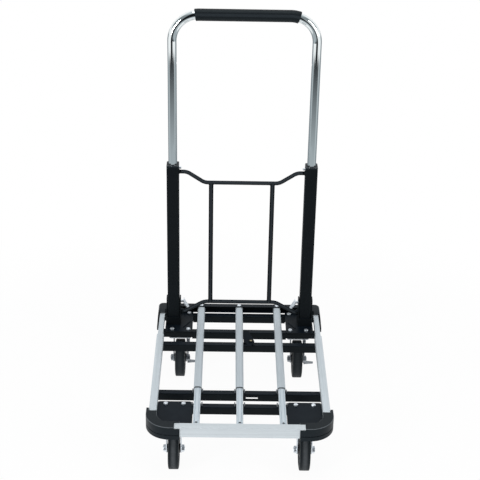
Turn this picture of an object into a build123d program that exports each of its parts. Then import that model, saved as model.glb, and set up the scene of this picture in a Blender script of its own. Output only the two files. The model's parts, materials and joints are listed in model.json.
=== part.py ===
from build123d import *
import math
import os

# Folding platform truck: an extendable slatted deck on four swivel casters, with a fold-down
# telescoping handle. Sizes are in millimetres. X runs across the deck, Y from front to back and
# Z up. The origin is on the floor under the middle of the extended deck.

# Deck
DECK_LENGTH = 583.0
DECK_WIDTH = 442.0
DECK_TRAVEL = 150.0
RUN_GAP = 0.4
CHANNEL_WIDTH = 18.0
CHANNEL_HEIGHT = 16.0
CHANNEL_SKIRT = 4.0
SKIRT_GAP = 3.0
CHANNEL_WALL = 1.6
CHANNEL_BEND = 2.5
LATCH_CHANNEL_PITCH = 64.0
SLOT_WIDTH = 29.0
SLOT_HEIGHT = 4.0
SLOT_FOOT = 3.0

# Side rails
RAIL_INSET = 6.3
RAIL_WIDTH = 18.4
RAIL_HEIGHT = 16.0
RAIL_WALL = 1.8
RAIL_ROUND = 3.0
RAIL_PLAY = 0.5
RAIL_OVERLAP = 150.0
RAIL_END_GAP = 8.0
INNER_RAIL_WALL = 1.6

# Slats
SLAT_TO_CASTER = 53.75
SLAT_WIDTH = 19.5
SLAT_HEIGHT = 15.5
SLAT_CROWN = 1.2
SLAT_SHOULDER = 5.0
SLAT_WALL = 1.4
SLAT_PLAY = 0.3
SLAT_END_GAP = 6.0
SLAT_HOLE_RADIUS = 2.2
SLAT_HOLE_INSET = 8.0
GUIDE_WIDTH = 3.0
GUIDE_LENGTH = 8.0
GUIDE_HEIGHT = 7.0

# Rear beam and corner caps
BEAM_DEPTH = 15.0
BEAM_WALL = 1.5
BEAM_RIVET_RADIUS = 5.2
CAP_WALL = 3.0
CAP_SIDE_WALL = 1.8
CAP_REACH = 112.0
CAP_HOOD = 36.0
CAP_CLEARANCE = 0.6
CAP_NOSE = 9.0
CAP_ROUND = 4.0
CAP_CORNER = 13.0

# Front bar and bumpers
BAR_SETBACK = 1.5
BAR_FLANGE_DEPTH = 19.5
BAR_FLANGE_WALL = 2.5
BAR_FLANGE_LENGTH = 305.4
BAR_LENGTH = 280.0
BAR_WALL = 2.5
BAR_LIP_DROP = 0.8
BAR_LIP_PROUD = 0.7
BAR_DROP = 24.0
BAR_FOOT = 8.0
BUMPER_RADIUS = 58.0
BUMPER_DEPTH = 26.0
BUMPER_SHELF = 20.0
BUMPER_LENGTH = 71.0
BUMPER_EAR = 11.0
BUMPER_LID = 2.0
BUMPER_ROUND = 1.8
BUMPER_GROOVE = 1.6
BUMPER_GROOVE_FOOT = 11.0
BUMPER_GROOVE_HEIGHT = 2.2
BUMPER_SOCKET = 13.0

# Plates over the casters
FRONT_PLATE_WALL = 2.5
FRONT_PLATE_MARGIN = 3.0
REAR_PLATE_WALL = 3.0
REAR_PLATE_REACH = 32.25
REAR_PLATE_MARGIN = 2.0
PLATE_ROUND = 5.0
PLATE_EDGE_GAP = 0.3
CREASE_LENGTH = 34.0
CREASE_RADIUS = 2.0

# Casters
WHEEL_RADIUS = 50.0
TYRE_WIDTH = 26.0
TYRE_FLANK = 9.0
TYRE_TAPER = 2.2
TYRE_BEVEL = 1.5
TREAD_HEIGHT = 13.0
HUB_WIDTH = 31.0
HUB_RIM_WIDTH = 22.0
HUB_BOSS_RADIUS = 10.0
AXLE_RADIUS = 5.0
NUT_ACROSS = 15.0
NUT_HEIGHT = 6.5
RUN_FIT = 0.06
CASTER_HEIGHT = 122.0
CASTER_SIDE_INSET = 65.25
FRONT_CASTER_INSET = 77.25
REAR_CASTER_INSET = 73.25
FRONT_TRAIL = 10.0
REAR_TRAIL = 36.0
CASTER_PLATE_WIDTH = 58.0
CASTER_PLATE_LENGTH = 106.0
CASTER_SHEET = 2.5
BOLT_PITCH_X = 42.5
BOLT_PITCH_Y = 84.5
BOLT_RADIUS = 3.0
BOLT_HOLE_RADIUS = 3.2
BOLT_HEAD_ACROSS = 10.0
BOLT_HEAD_HEIGHT = 4.0
LOW_HEAD_HEIGHT = 1.2
RACE_RADIUS = 21.0
RACE_HEIGHT = 6.5
CUP_HEIGHT = 5.5
KINGPIN_RADIUS = 6.0
KINGPIN_HEAD_RADIUS = 10.0
CROWN_LENGTH = 46.0
CROWN_BEND = 3.0
FORK_GAP = 0.5
FORK_FOOT_RADIUS = 11.0
SWIVEL_GAP = 0.3

# Side brake on the rear casters
BRAKE_SHEET = 2.5
BRAKE_GAP = 6.0
BRAKE_PIVOT_RISE = 34.0
BRAKE_PIVOT_BACK = 32.0
BRAKE_STUD_RADIUS = 3.0
BRAKE_EYE_RADIUS = 7.0
BRAKE_TAB_LENGTH = 23.0
BRAKE_TAB_DEPTH = 15.0
BRAKE_TAB_TIP = 7.0
BRAKE_TAB_DROP = 17.5
BRAKE_SHOE_HEIGHT = 14.0
BRAKE_SHOE_DROP = 4.0
BRAKE_NUT_ROOM = 7.0

# Uprights and hinge
UPRIGHT_SIDE_INSET = 47.0
UPRIGHT_WIDTH = 31.0
UPRIGHT_DEPTH = 30.0
UPRIGHT_WALL = 1.5
UPRIGHT_ROUND = 3.0
UPRIGHT_TOP = 593.0
PIVOT_INSET = 79.0
PIVOT_HEIGHT = 35.4
PIVOT_SETBACK = 10.0
PIVOT_RADIUS = 4.0
PIVOT_HEAD_ACROSS = 13.0
PIVOT_HEAD_HEIGHT = 5.0
SWING_GAP = 2.8
FOLD_GAP = 2.0
STOP_GAP = 0.3
BRACKET_SHEET = 2.5
BRACKET_BEND = 2.2
EAR_SIDE_GAP = 0.7
EAR_HEIGHT = 76.0
EAR_BASE = 46.0
EAR_LEAN = 8.0
EAR_CREST = 24.0
EAR_ROUND = 8.0
BARREL_RADIUS = 7.0
BARREL_LENGTH = 6.3
BARREL_GRIP = 2.0

# Fold lock
LOCK_RISE = 24.0
LOCK_SETBACK = 11.5
LOCK_RADIUS = 3.5
LOCK_RELIEF = 0.6
LOCK_TRAVEL = 4.3
LOCK_ROOM = 0.4
TAB_SHEET = 2.5
TAB_WIDTH = 22.0
TAB_DROP = 21.0
TAB_FLARE = 12.0

# Wire back frame
WIRE_RADIUS = 5.0
WIRE_POST_RADIUS = 5.8
WIRE_TOP_DROP = 14.0
WIRE_STUB = 20.0
WIRE_DIP = 29.0
WIRE_SLOPE_REACH = 44.5
WIRE_TOP_BEND = 30.0
WIRE_LOWER_RISE = 30.0
WIRE_LOWER_STUB = 13.5
WIRE_FOOT_BEND = 13.0
WIRE_LOWER_BEND = 36.0
WIRE_POST_INSET = 16.6

# Collars and push buttons
COLLAR_HEIGHT = 5.5
COLLAR_ROUND = 1.2
COLLAR_PLUG = 45.0
COLLAR_PLUG_GAP = 0.15
COLLAR_BORE_GAP = 0.3
BUTTON_RADIUS = 3.0
BUTTON_DROP = 5.2
BUTTON_PROUD = 6.0
BUTTON_SHY = 0.4
BUTTON_DOME = 1.4
BUTTON_ROOM = 0.5

# Handle
HANDLE_TOP = 983.0
HANDLE_TRAVEL = 275.0
TUBE_RADIUS = 11.0
TUBE_WALL = 1.5
TUBE_BEND = 65.0
LEG_OVERLAP = 83.0
GLIDE_HEIGHT = 20.0
GLIDE_GAP = 0.3
GLIDE_SPIGOT = 15.0
SPIGOT_GAP = 0.1
GRIP_RADIUS = 14.6
GRIP_GAP = 0.1
GRIP_LEFT_GAP = 55.5
GRIP_RIGHT_GAP = 44.0

# Extension latch
LATCH_X = 30.0
LATCH_LIFT = 5.4
LATCH_SHEET = 2.5
LATCH_GAP = 0.2
LATCH_RIVET_RADIUS = 3.0
LATCH_HEAD_RADIUS = 5.5
LATCH_HEAD_HEIGHT = 2.2
LATCH_EYE_RADIUS = 9.0
LATCH_TAIL = 54.0
LATCH_TAIL_WIDTH = 13.0
LATCH_NOSE_REACH = 20.0
LATCH_NOSE_WIDTH = 8.0
LATCH_NOSE_GAP = 0.6
LATCH_HOLE_ROOM = 1.6
LATCH_SWING = 13.0

# Levels and lines worked out from the sizes above
FRONT_Y = -DECK_LENGTH / 2
REAR_Y = DECK_LENGTH / 2
SEAT = CASTER_HEIGHT + CHANNEL_HEIGHT
CHANNEL_FLOOR = CASTER_HEIGHT - CHANNEL_SKIRT
REAR_SEAT = SEAT - RUN_GAP
LAND = 2 * RUN_GAP
SLIDE_FLOOR = SEAT + RUN_GAP
DECK_TOP = SEAT + RAIL_HEIGHT
RAIL_X = DECK_WIDTH / 2 - RAIL_INSET - RAIL_WIDTH / 2
RAIL_INNER_FACE = RAIL_X - RAIL_WIDTH / 2
INNER_RAIL_WIDTH = RAIL_WIDTH - 2 * RAIL_WALL - 2 * RAIL_PLAY
INNER_RAIL_TOP = DECK_TOP - RAIL_WALL - RAIL_PLAY
SLAT_TOP = SLIDE_FLOOR + SLAT_HEIGHT
CASTER_X = DECK_WIDTH / 2 - CASTER_SIDE_INSET
SLAT_PITCH = CASTER_X - SLAT_TO_CASTER
SLAT_XS = (-SLAT_PITCH, 0.0, SLAT_PITCH)
FRONT_PLATE_INNER = SLAT_PITCH + SLAT_WIDTH / 2
REAR_PLATE_INNER = CASTER_X - REAR_PLATE_REACH
UPRIGHT_X = DECK_WIDTH / 2 - UPRIGHT_SIDE_INSET
FRONT_CASTER_Y = FRONT_Y + FRONT_CASTER_INSET
REAR_CASTER_Y = REAR_Y - REAR_CASTER_INSET
FRONT_CHANNEL_Y = FRONT_CASTER_Y + BOLT_PITCH_Y / 2
REAR_CHANNEL_FRONT_Y = REAR_CASTER_Y - BOLT_PITCH_Y / 2
REAR_CHANNEL_BACK_Y = REAR_CASTER_Y + BOLT_PITCH_Y / 2
LATCH_CHANNEL_Y = REAR_CHANNEL_FRONT_Y - LATCH_CHANNEL_PITCH
BAR_FRONT = FRONT_Y + BAR_SETBACK
BAR_FLANGE_BACK = BAR_FRONT + BAR_FLANGE_DEPTH
BAR_WEB_BACK = BAR_FRONT + BAR_LIP_PROUD + BAR_WALL
BAR_FLANGE_FLOOR = SLAT_TOP - SLAT_WALL - SLAT_PLAY
BEAM_BACK = REAR_Y - CAP_WALL
BEAM_WEB = BEAM_BACK - BEAM_WALL
OUTER_SLAT_FRONT = BAR_FLANGE_BACK + SLAT_END_GAP + DECK_TRAVEL
INNER_SLAT_REAR = BEAM_WEB - 2 * SLAT_END_GAP - DECK_TRAVEL
SLOTTED_CHANNEL_Y = OUTER_SLAT_FRONT
OUTER_RAIL_REAR = BEAM_BACK - RAIL_END_GAP - DECK_TRAVEL
INNER_RAIL_FRONT = OUTER_RAIL_REAR - RAIL_OVERLAP
BUMPER_REAR = FRONT_Y + BUMPER_LENGTH
REAR_PLATE_TOP = REAR_SEAT + REAR_PLATE_WALL
FRONT_PLATE_TOP = SEAT + FRONT_PLATE_WALL
PIVOT_Y = REAR_Y - PIVOT_INSET
PIVOT_Z = REAR_PLATE_TOP + PIVOT_HEIGHT
UPRIGHT_FRONT = PIVOT_Y - PIVOT_SETBACK
UPRIGHT_Y = UPRIGHT_FRONT + UPRIGHT_DEPTH / 2
UPRIGHT_BOTTOM = PIVOT_Z - math.sqrt((PIVOT_HEIGHT - SWING_GAP) ** 2 - PIVOT_SETBACK ** 2)
UPRIGHT_INNER_FACE = UPRIGHT_X - UPRIGHT_WIDTH / 2
WIRE_CENTRE_HALF = UPRIGHT_INNER_FACE - WIRE_STUB - WIRE_SLOPE_REACH
WIRE_LOWER_REACH = UPRIGHT_INNER_FACE - WIRE_LOWER_STUB
WIRE_POST_X = WIRE_CENTRE_HALF - WIRE_POST_INSET
GRIP_LEFT_REACH = UPRIGHT_X - GRIP_LEFT_GAP
GRIP_RIGHT_REACH = UPRIGHT_X - GRIP_RIGHT_GAP
EAR_INNER_FACE = UPRIGHT_INNER_FACE - EAR_SIDE_GAP
EAR_OUTER_FACE = UPRIGHT_X + UPRIGHT_WIDTH / 2 + EAR_SIDE_GAP
BARREL_OUTER_END = EAR_INNER_FACE - BRACKET_SHEET
BARREL_INNER_END = BARREL_OUTER_END - BARREL_LENGTH
LOCK_Y = PIVOT_Y + LOCK_SETBACK
LOCK_Z = PIVOT_Z + LOCK_RISE
BUTTON_Z = UPRIGHT_TOP - BUTTON_DROP
LEG_END = UPRIGHT_TOP - LEG_OVERLAP
LATCH_Z = REAR_SEAT + LATCH_LIFT
LATCH_NOSE_Y = LATCH_CHANNEL_Y - LATCH_NOSE_REACH
AXLE_Z = WHEEL_RADIUS
FORK_INSIDE = HUB_WIDTH / 2 + FORK_GAP
FORK_OUTSIDE = FORK_INSIDE + CASTER_SHEET
CASTER_PLATE_FLOOR = CASTER_HEIGHT - CASTER_SHEET
SKIRT_HALF = CASTER_X - CASTER_PLATE_WIDTH / 2 - SKIRT_GAP
RACE_FLOOR = CASTER_PLATE_FLOOR - RACE_HEIGHT
CUP_TOP = RACE_FLOOR - SWIVEL_GAP
CROWN_TOP = CUP_TOP - CUP_HEIGHT
CROWN_FLOOR = CROWN_TOP - CASTER_SHEET

parts = {}


# Drawing helpers: every profile is drawn in the deck's own coordinates

def rect(u0, u1, v0, v1):
    return Pos((u0 + u1) / 2, (v0 + v1) / 2) * Rectangle(u1 - u0, v1 - v0)


def disc(u, v, radius):
    return Pos(u, v) * Circle(radius)


def polygon(*points):
    return make_face(Polyline(*points, close=True))


def along_x(profile, x0, x1):
    """Extrude a profile drawn in (Y, Z) from x0 to x1."""
    return extrude(Plane(origin=(x0, 0, 0), x_dir=(0, 1, 0), z_dir=(1, 0, 0)) * profile, x1 - x0)


def along_y(profile, y0, y1):
    """Extrude a profile drawn in (X, Z) from y0 to y1."""
    return extrude(Plane(origin=(0, y1, 0), x_dir=(1, 0, 0), z_dir=(0, -1, 0)) * profile, y1 - y0)


def along_z(profile, z0, z1):
    """Extrude a profile drawn in (X, Y) from z0 to z1."""
    return extrude(Plane(origin=(0, 0, z0)) * profile, z1 - z0)


def block(x0, x1, y0, y1, z0, z1):
    return along_z(rect(x0, x1, y0, y1), z0, z1)


def round_corner(face, corner, radius):
    """Fillet the one vertex of a face that is nearest to a corner."""
    vertex = face.vertices().sort_by_distance((corner[0], corner[1], 0))[0]
    return fillet(vertex, radius)


def flip(shape):
    """The left-hand twin of a right-hand piece."""
    return mirror(shape, about=Plane.YZ)


def pair(name, shape):
    parts[name + "_right"] = shape
    parts[name + "_left"] = flip(shape)


def bolt_xs():
    return [CASTER_X - BOLT_PITCH_X / 2, CASTER_X + BOLT_PITCH_X / 2]


def bolt_holes(y, z0, z1):
    """Clearance holes for both casters' bolts on one line across the deck."""
    holes = Sketch()
    for x in bolt_xs():
        holes += disc(x, y, BOLT_HOLE_RADIUS) + disc(-x, y, BOLT_HOLE_RADIUS)
    return along_z(holes, z0, z1)


def hexagon(u, v, across):
    return Pos(u, v) * RegularPolygon(across / 2, 6, major_radius=False)


# Cross channels: pressed, open underneath

def channel(y, top, half_length):
    shape = rect(y - CHANNEL_WIDTH / 2, y + CHANNEL_WIDTH / 2, CHANNEL_FLOOR, top)
    for side in (-1, 1):
        shape = round_corner(shape, (y + side * CHANNEL_WIDTH / 2, top), CHANNEL_BEND)
    room = CHANNEL_WIDTH / 2 - CHANNEL_WALL
    shape -= rect(y - room, y + room, CHANNEL_FLOOR - 1, top - CHANNEL_WALL)
    return along_x(shape, -half_length, half_length)


def rear_channel(y):
    """A rear channel, with pressed lands that lift the inner rails and the outer slats."""
    body = channel(y, REAR_SEAT, RAIL_X + INNER_RAIL_WIDTH / 2)
    half = CHANNEL_WIDTH / 2 - CHANNEL_BEND
    widths = [(x, SLAT_WIDTH) for x in SLAT_XS]
    widths += [(-RAIL_X, INNER_RAIL_WIDTH), (RAIL_X, INNER_RAIL_WIDTH)]
    for x, width in widths:
        reach = width / 2 - RAIL_WALL
        body += block(x - reach, x + reach, y - half, y + half, REAR_SEAT, SLIDE_FLOOR)
    return body


def front_channel(y):
    return channel(y, SEAT, RAIL_X + RAIL_WIDTH / 2)


def caster_room(y):
    """The room that two caster plates need under a channel, out to its ends."""
    right = block(SKIRT_HALF, DECK_WIDTH / 2, y - CHANNEL_WIDTH, y + CHANNEL_WIDTH,
                  CHANNEL_FLOOR - 1, CASTER_HEIGHT)
    return right + flip(right)


for name, y in (("rear_channel_front", REAR_CHANNEL_FRONT_Y), ("rear_channel_back", REAR_CHANNEL_BACK_Y)):
    parts[name] = rear_channel(y) - bolt_holes(y, CASTER_HEIGHT, SLIDE_FLOOR) - caster_room(y)

latch_rivet_hole = along_z(disc(LATCH_X, LATCH_CHANNEL_Y, LATCH_RIVET_RADIUS), CASTER_HEIGHT, SLIDE_FLOOR)
parts["latch_channel"] = rear_channel(LATCH_CHANNEL_Y) - latch_rivet_hole
front_holes = bolt_holes(FRONT_CHANNEL_Y, CASTER_HEIGHT, SEAT + 1)
parts["front_channel"] = front_channel(FRONT_CHANNEL_Y) - front_holes - caster_room(FRONT_CHANNEL_Y)

slot_floor = CASTER_HEIGHT + SLOT_FOOT
slot = block(LATCH_X - SLOT_WIDTH / 2, LATCH_X + SLOT_WIDTH / 2, SLOTTED_CHANNEL_Y - CHANNEL_WIDTH,
             SLOTTED_CHANNEL_Y, slot_floor, slot_floor + SLOT_HEIGHT)
parts["slotted_channel"] = front_channel(SLOTTED_CHANNEL_Y) - slot


# Side rails: the outer rail is an inverted U that runs over the closed inner rail

def outer_rail():
    left = RAIL_X - RAIL_WIDTH / 2
    right = RAIL_X + RAIL_WIDTH / 2
    shape = rect(left, right, SEAT, DECK_TOP)
    for x in (left, right):
        shape = round_corner(shape, (x, DECK_TOP), RAIL_ROUND)
    room = rect(left + RAIL_WALL, right - RAIL_WALL, SEAT - 1, DECK_TOP - RAIL_WALL)
    for x in (left + RAIL_WALL, right - RAIL_WALL):
        room = round_corner(room, (x, DECK_TOP - RAIL_WALL), RAIL_ROUND - RAIL_WALL)
    return along_y(shape - room, BUMPER_REAR - BUMPER_SOCKET, OUTER_RAIL_REAR)


def inner_rail():
    half = INNER_RAIL_WIDTH / 2
    shape = rect(RAIL_X - half, RAIL_X + half, SLIDE_FLOOR, INNER_RAIL_TOP)
    for x in (RAIL_X - half, RAIL_X + half):
        shape = round_corner(shape, (x, INNER_RAIL_TOP), RAIL_ROUND - RAIL_WALL)
    wall = INNER_RAIL_WALL
    shape -= rect(RAIL_X - half + wall, RAIL_X + half - wall, SLIDE_FLOOR + wall, INNER_RAIL_TOP - wall)
    return along_y(shape, INNER_RAIL_FRONT, BEAM_BACK - RAIL_END_GAP)


pair("outer_rail", outer_rail())
pair("inner_rail", inner_rail())


# Slats: a crowned extrusion with round shoulders, the front one inside the rear one

def slat_outline(x, inset):
    half = SLAT_WIDTH / 2
    eaves = SLAT_TOP - SLAT_CROWN
    feet = [(x - half, SLIDE_FLOOR), (x + half, SLIDE_FLOOR)]
    sides = Polyline((x - half, eaves), *feet, (x + half, eaves))
    crown = ThreePointArc((x + half, eaves), (x, SLAT_TOP), (x - half, eaves))
    face = make_face([*sides.edges(), crown])
    for side in (-1, 1):
        face = round_corner(face, (x + side * half, eaves), SLAT_SHOULDER)
    if inset > 0:
        face = offset(face, -inset)
    return face


def slat(x, inset, y0, y1):
    return along_y(slat_outline(x, inset) - slat_outline(x, inset + SLAT_WALL), y0, y1)


def latch_hole(y):
    """The hole in the centre slats' right walls that the latch nose enters."""
    half = LATCH_NOSE_WIDTH / 2 + LATCH_HOLE_ROOM
    sweep_room = (LATCH_X - SLAT_WIDTH / 2) * math.sin(math.radians(LATCH_SWING))
    floor = LATCH_Z - LATCH_HOLE_ROOM
    top = LATCH_Z + LATCH_SHEET + LATCH_HOLE_ROOM
    return block(0, SLAT_WIDTH, y - half, y + half + sweep_room, floor, top)


rivet_y = BEAM_BACK - BEAM_DEPTH / 2
outer_slats = []
inner_slats = []
for x in SLAT_XS:
    rear = slat(x, 0, OUTER_SLAT_FRONT, BEAM_WEB)
    rear -= along_z(disc(x, rivet_y, BOLT_HOLE_RADIUS), SLAT_TOP - SLAT_SHOULDER, SLAT_TOP + 1)
    front = slat(x, SLAT_WALL + SLAT_PLAY, BAR_WEB_BACK, INNER_SLAT_REAR)
    hole = disc(x, BAR_FLANGE_BACK + SLAT_HOLE_INSET, SLAT_HOLE_RADIUS)
    front -= along_z(hole, SLAT_TOP - SLAT_SHOULDER, SLAT_TOP)
    if x == 0:
        rear -= latch_hole(LATCH_NOSE_Y)
        front -= latch_hole(LATCH_NOSE_Y) + latch_hole(LATCH_NOSE_Y - DECK_TRAVEL)
    outer_slats.append(rear)
    inner_slats.append(front)
parts["outer_slats"] = Compound(outer_slats)
parts["inner_slats"] = Compound(inner_slats)

guides = []
for y in (FRONT_CHANNEL_Y, SLOTTED_CHANNEL_Y):
    for x in SLAT_XS:
        for side in (-1, 1):
            middle = x + side * (SLAT_WIDTH / 2 + RUN_GAP + GUIDE_WIDTH / 2)
            lug = block(middle - GUIDE_WIDTH / 2, middle + GUIDE_WIDTH / 2, y - GUIDE_LENGTH / 2,
                        y + GUIDE_LENGTH / 2, SEAT, SEAT + GUIDE_HEIGHT)
            guides.append(lug)
parts["slat_guides"] = Compound(guides)


# Rear beam: a C section, open to the front, that takes the slats' ends

def rear_beam():
    front = BEAM_BACK - BEAM_DEPTH
    shape = rect(front, BEAM_BACK, SLIDE_FLOOR - BEAM_WALL, SLAT_TOP + BEAM_WALL)
    shape -= rect(front, BEAM_WEB, SLIDE_FLOOR, SLAT_TOP)
    half = RAIL_INNER_FACE - 1
    body = along_x(shape, -half, half)
    for x in SLAT_XS:
        body -= along_z(disc(x, rivet_y, BOLT_HOLE_RADIUS), SLAT_TOP, SLAT_TOP + 2 * BEAM_WALL)
    return body


def beam_rivet(x):
    top = SLAT_TOP + BEAM_WALL
    stem = along_z(disc(x, rivet_y, BOLT_RADIUS), SLAT_TOP - SLAT_WALL, top)
    head = along_z(disc(x, rivet_y, BEAM_RIVET_RADIUS), top, top + BEAM_WALL)
    head = fillet(head.edges().group_by(Axis.Z)[-1], BEAM_WALL * 0.8)
    return stem + head


parts["rear_beam"] = rear_beam()
parts["rear_beam_rivets"] = Compound([beam_rivet(x) for x in SLAT_XS])


# Rear corner cap: a hood, side wall and sill that the outer rail slides into

def rear_cap():
    inner = RAIL_X + RAIL_WIDTH / 2 + CAP_CLEARANCE
    outer = inner + CAP_SIDE_WALL
    hood_floor = DECK_TOP + CAP_CLEARANCE
    top = hood_floor + CAP_SIDE_WALL
    sill_top = SEAT - CAP_CLEARANCE
    sill_floor = sill_top - CAP_SIDE_WALL
    sill_edge = RAIL_X + INNER_RAIL_WIDTH / 2 + RUN_GAP
    hood_front = REAR_Y - CAP_HOOD
    nose = REAR_Y - CAP_REACH
    start = RAIL_INNER_FACE - BEAM_DEPTH
    # The inside corner starts its bend just in front of the outer rail's end
    room_corner = min(CAP_CORNER - CAP_WALL, RAIL_END_GAP * 1.25)
    plan = round_corner(rect(start, outer, nose, REAR_Y), (outer, REAR_Y), room_corner + CAP_WALL)
    room = round_corner(rect(start, inner, nose, BEAM_BACK), (inner, BEAM_BACK), room_corner)
    body = along_z(plan, sill_floor, top)
    rim = body.edges().group_by(Axis.Z)[-1].sort_by_distance((outer, REAR_Y, top))[:3]
    body = fillet(rim, CAP_ROUND)
    body -= along_z(room, sill_top, hood_floor)
    body -= block(start, sill_edge, nose, BEAM_BACK, sill_floor, sill_top)
    body -= block(start, RAIL_INNER_FACE, nose, BEAM_BACK, sill_floor, top)
    body -= along_x(polygon((nose, SEAT + CAP_NOSE), (hood_front, top), (nose, top)), start, outer)
    wall = INNER_RAIL_WALL + RUN_GAP
    half = INNER_RAIL_WIDTH / 2 - wall
    plug = block(RAIL_X - half, RAIL_X + half, BEAM_BACK - BEAM_DEPTH, BEAM_BACK, SLIDE_FLOOR + wall,
                 INNER_RAIL_TOP - wall)
    return body + plug


pair("rear_cap", rear_cap())


# Front bar: a flanged aluminium extrusion across the front of the deck

def front_bar():
    top = BAR_FLANGE_FLOOR + BAR_FLANGE_WALL
    lip_floor = BAR_FLANGE_FLOOR - BAR_LIP_DROP
    flange = rect(BAR_FRONT, BAR_FLANGE_BACK, BAR_FLANGE_FLOOR, top)
    flange += rect(BAR_FRONT, BAR_WEB_BACK, lip_floor, top)
    web_front = BAR_FRONT + BAR_LIP_PROUD
    floor = BAR_FLANGE_FLOOR - BAR_DROP
    skirt = rect(web_front, BAR_WEB_BACK, floor, BAR_FLANGE_FLOOR)
    skirt += rect(web_front, BAR_WEB_BACK + BAR_FOOT, floor, floor + BAR_WALL)
    body = along_x(flange, -BAR_FLANGE_LENGTH / 2, BAR_FLANGE_LENGTH / 2)
    return body + along_x(skirt, -BAR_LENGTH / 2, BAR_LENGTH / 2)


parts["front_bar"] = front_bar()


# Corner bumpers: a moulded quarter round with a groove, a socket for the rail and a shelf for the plate

def bumper_outline(outer_inset, inner_inset, ear):
    """The quarter round in plan. The ear is how far its outer wall runs on beside the rail."""
    right = DECK_WIDTH / 2 - outer_inset
    front = FRONT_Y + outer_inset
    inner = DECK_WIDTH / 2 - inner_inset
    back = FRONT_Y + inner_inset
    start = BAR_LENGTH / 2
    face = polygon((start, front), (right, front), (right, BUMPER_REAR), (inner, BUMPER_REAR),
                   (inner, back), (start, back))
    face = round_corner(face, (right, front), BUMPER_RADIUS - outer_inset)
    face = round_corner(face, (inner, back), BUMPER_RADIUS - inner_inset)
    if ear > 0:
        face += rect(RAIL_X + RAIL_WIDTH / 2, right, BUMPER_REAR, BUMPER_REAR + ear)
    return face


def front_bumper():
    top = DECK_TOP + BUMPER_LID
    body = along_z(bumper_outline(0, BUMPER_DEPTH, BUMPER_EAR), CASTER_HEIGHT, top)
    body = fillet(body.edges().group_by(Axis.Z)[-1], BUMPER_ROUND)
    groove_floor = CASTER_HEIGHT + BUMPER_GROOVE_FOOT
    groove = bumper_outline(-BUMPER_GROOVE, BUMPER_DEPTH, BUMPER_EAR)
    groove -= bumper_outline(BUMPER_GROOVE, BUMPER_DEPTH, BUMPER_EAR)
    body -= along_z(groove, groove_floor, groove_floor + BUMPER_GROOVE_HEIGHT)
    shelf = bumper_outline(BUMPER_DEPTH / 2, BUMPER_DEPTH + BUMPER_SHELF, 0)
    body += along_z(shelf, CASTER_HEIGHT, SEAT)
    lip_floor = BAR_FLANGE_FLOOR - BAR_LIP_DROP
    lip_end = BAR_FLANGE_LENGTH / 2 + PLATE_EDGE_GAP
    lip_back = BAR_FLANGE_BACK + PLATE_EDGE_GAP
    body -= block(0, lip_end, FRONT_Y - 1, lip_back, lip_floor, top + 1)
    body -= block(RAIL_X - RAIL_WIDTH / 2, RAIL_X + RAIL_WIDTH / 2, BUMPER_REAR - BUMPER_SOCKET,
                  BUMPER_REAR + 1, SEAT, DECK_TOP)
    bolt_y = FRONT_CASTER_Y - BOLT_PITCH_Y / 2
    for x in bolt_xs():
        body -= along_z(disc(x, bolt_y, BOLT_HEAD_ACROSS / 2 + BOLT_RADIUS), SEAT, top)
    return body - bolt_holes(bolt_y, CASTER_HEIGHT - 1, SEAT + 1)


pair("front_bumper", front_bumper())


# Plates over the casters

def front_plate():
    inset = BUMPER_DEPTH + PLATE_EDGE_GAP
    right = DECK_WIDTH / 2 - inset
    front = FRONT_Y + inset
    back = FRONT_CHANNEL_Y + CHANNEL_WIDTH / 2 + FRONT_PLATE_MARGIN
    # Behind the bumper the plate widens to the rail, and steps in around the slat's guide lug
    rail_edge = RAIL_INNER_FACE - PLATE_EDGE_GAP
    lug_edge = FRONT_PLATE_INNER + RUN_GAP + GUIDE_WIDTH + PLATE_EDGE_GAP
    step = FRONT_CHANNEL_Y - GUIDE_LENGTH
    face = rect(FRONT_PLATE_INNER, right, front, step)
    face = round_corner(face, (right, front), BUMPER_RADIUS - inset)
    face += rect(lug_edge, rail_edge, BUMPER_REAR + PLATE_EDGE_GAP, back)
    face = round_corner(face, (rail_edge, back), PLATE_ROUND)
    face = round_corner(face, (lug_edge, back), PLATE_ROUND)
    body = along_z(face, SEAT, FRONT_PLATE_TOP)
    for y in (FRONT_CHANNEL_Y, FRONT_CASTER_Y - BOLT_PITCH_Y / 2):
        body -= bolt_holes(y, SEAT - 1, FRONT_PLATE_TOP + 1)
    return body


def rear_plate():
    front = REAR_CHANNEL_FRONT_Y - CHANNEL_WIDTH / 2 - REAR_PLATE_MARGIN
    back = REAR_CHANNEL_BACK_Y + CHANNEL_WIDTH / 2 + REAR_PLATE_MARGIN
    right = RAIL_INNER_FACE - 1
    face = rect(REAR_PLATE_INNER, right, front, back)
    for x in (REAR_PLATE_INNER, right):
        for y in (front, back):
            face = round_corner(face, (x, y), PLATE_ROUND)
    body = along_z(face, REAR_SEAT, REAR_PLATE_TOP)
    middle = (REAR_PLATE_INNER + EAR_INNER_FACE - BRACKET_SHEET) / 2
    crease = Pos(middle, UPRIGHT_FRONT, REAR_PLATE_TOP) * Rot(0, 0, -60) * Rot(0, 90, 0)
    body += crease * Cylinder(CREASE_RADIUS, CREASE_LENGTH)
    for y in (REAR_CHANNEL_FRONT_Y, REAR_CHANNEL_BACK_Y):
        body -= bolt_holes(y, REAR_SEAT - 1, REAR_PLATE_TOP + 1)
    return body - block(0, RAIL_X, FRONT_Y, REAR_Y, CASTER_HEIGHT, REAR_SEAT)


parts["front_plates"] = Compound([front_plate(), flip(front_plate())])
parts["rear_plates"] = Compound([rear_plate(), flip(rear_plate())])


# Caster bolts, with their nuts under the caster plates

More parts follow.
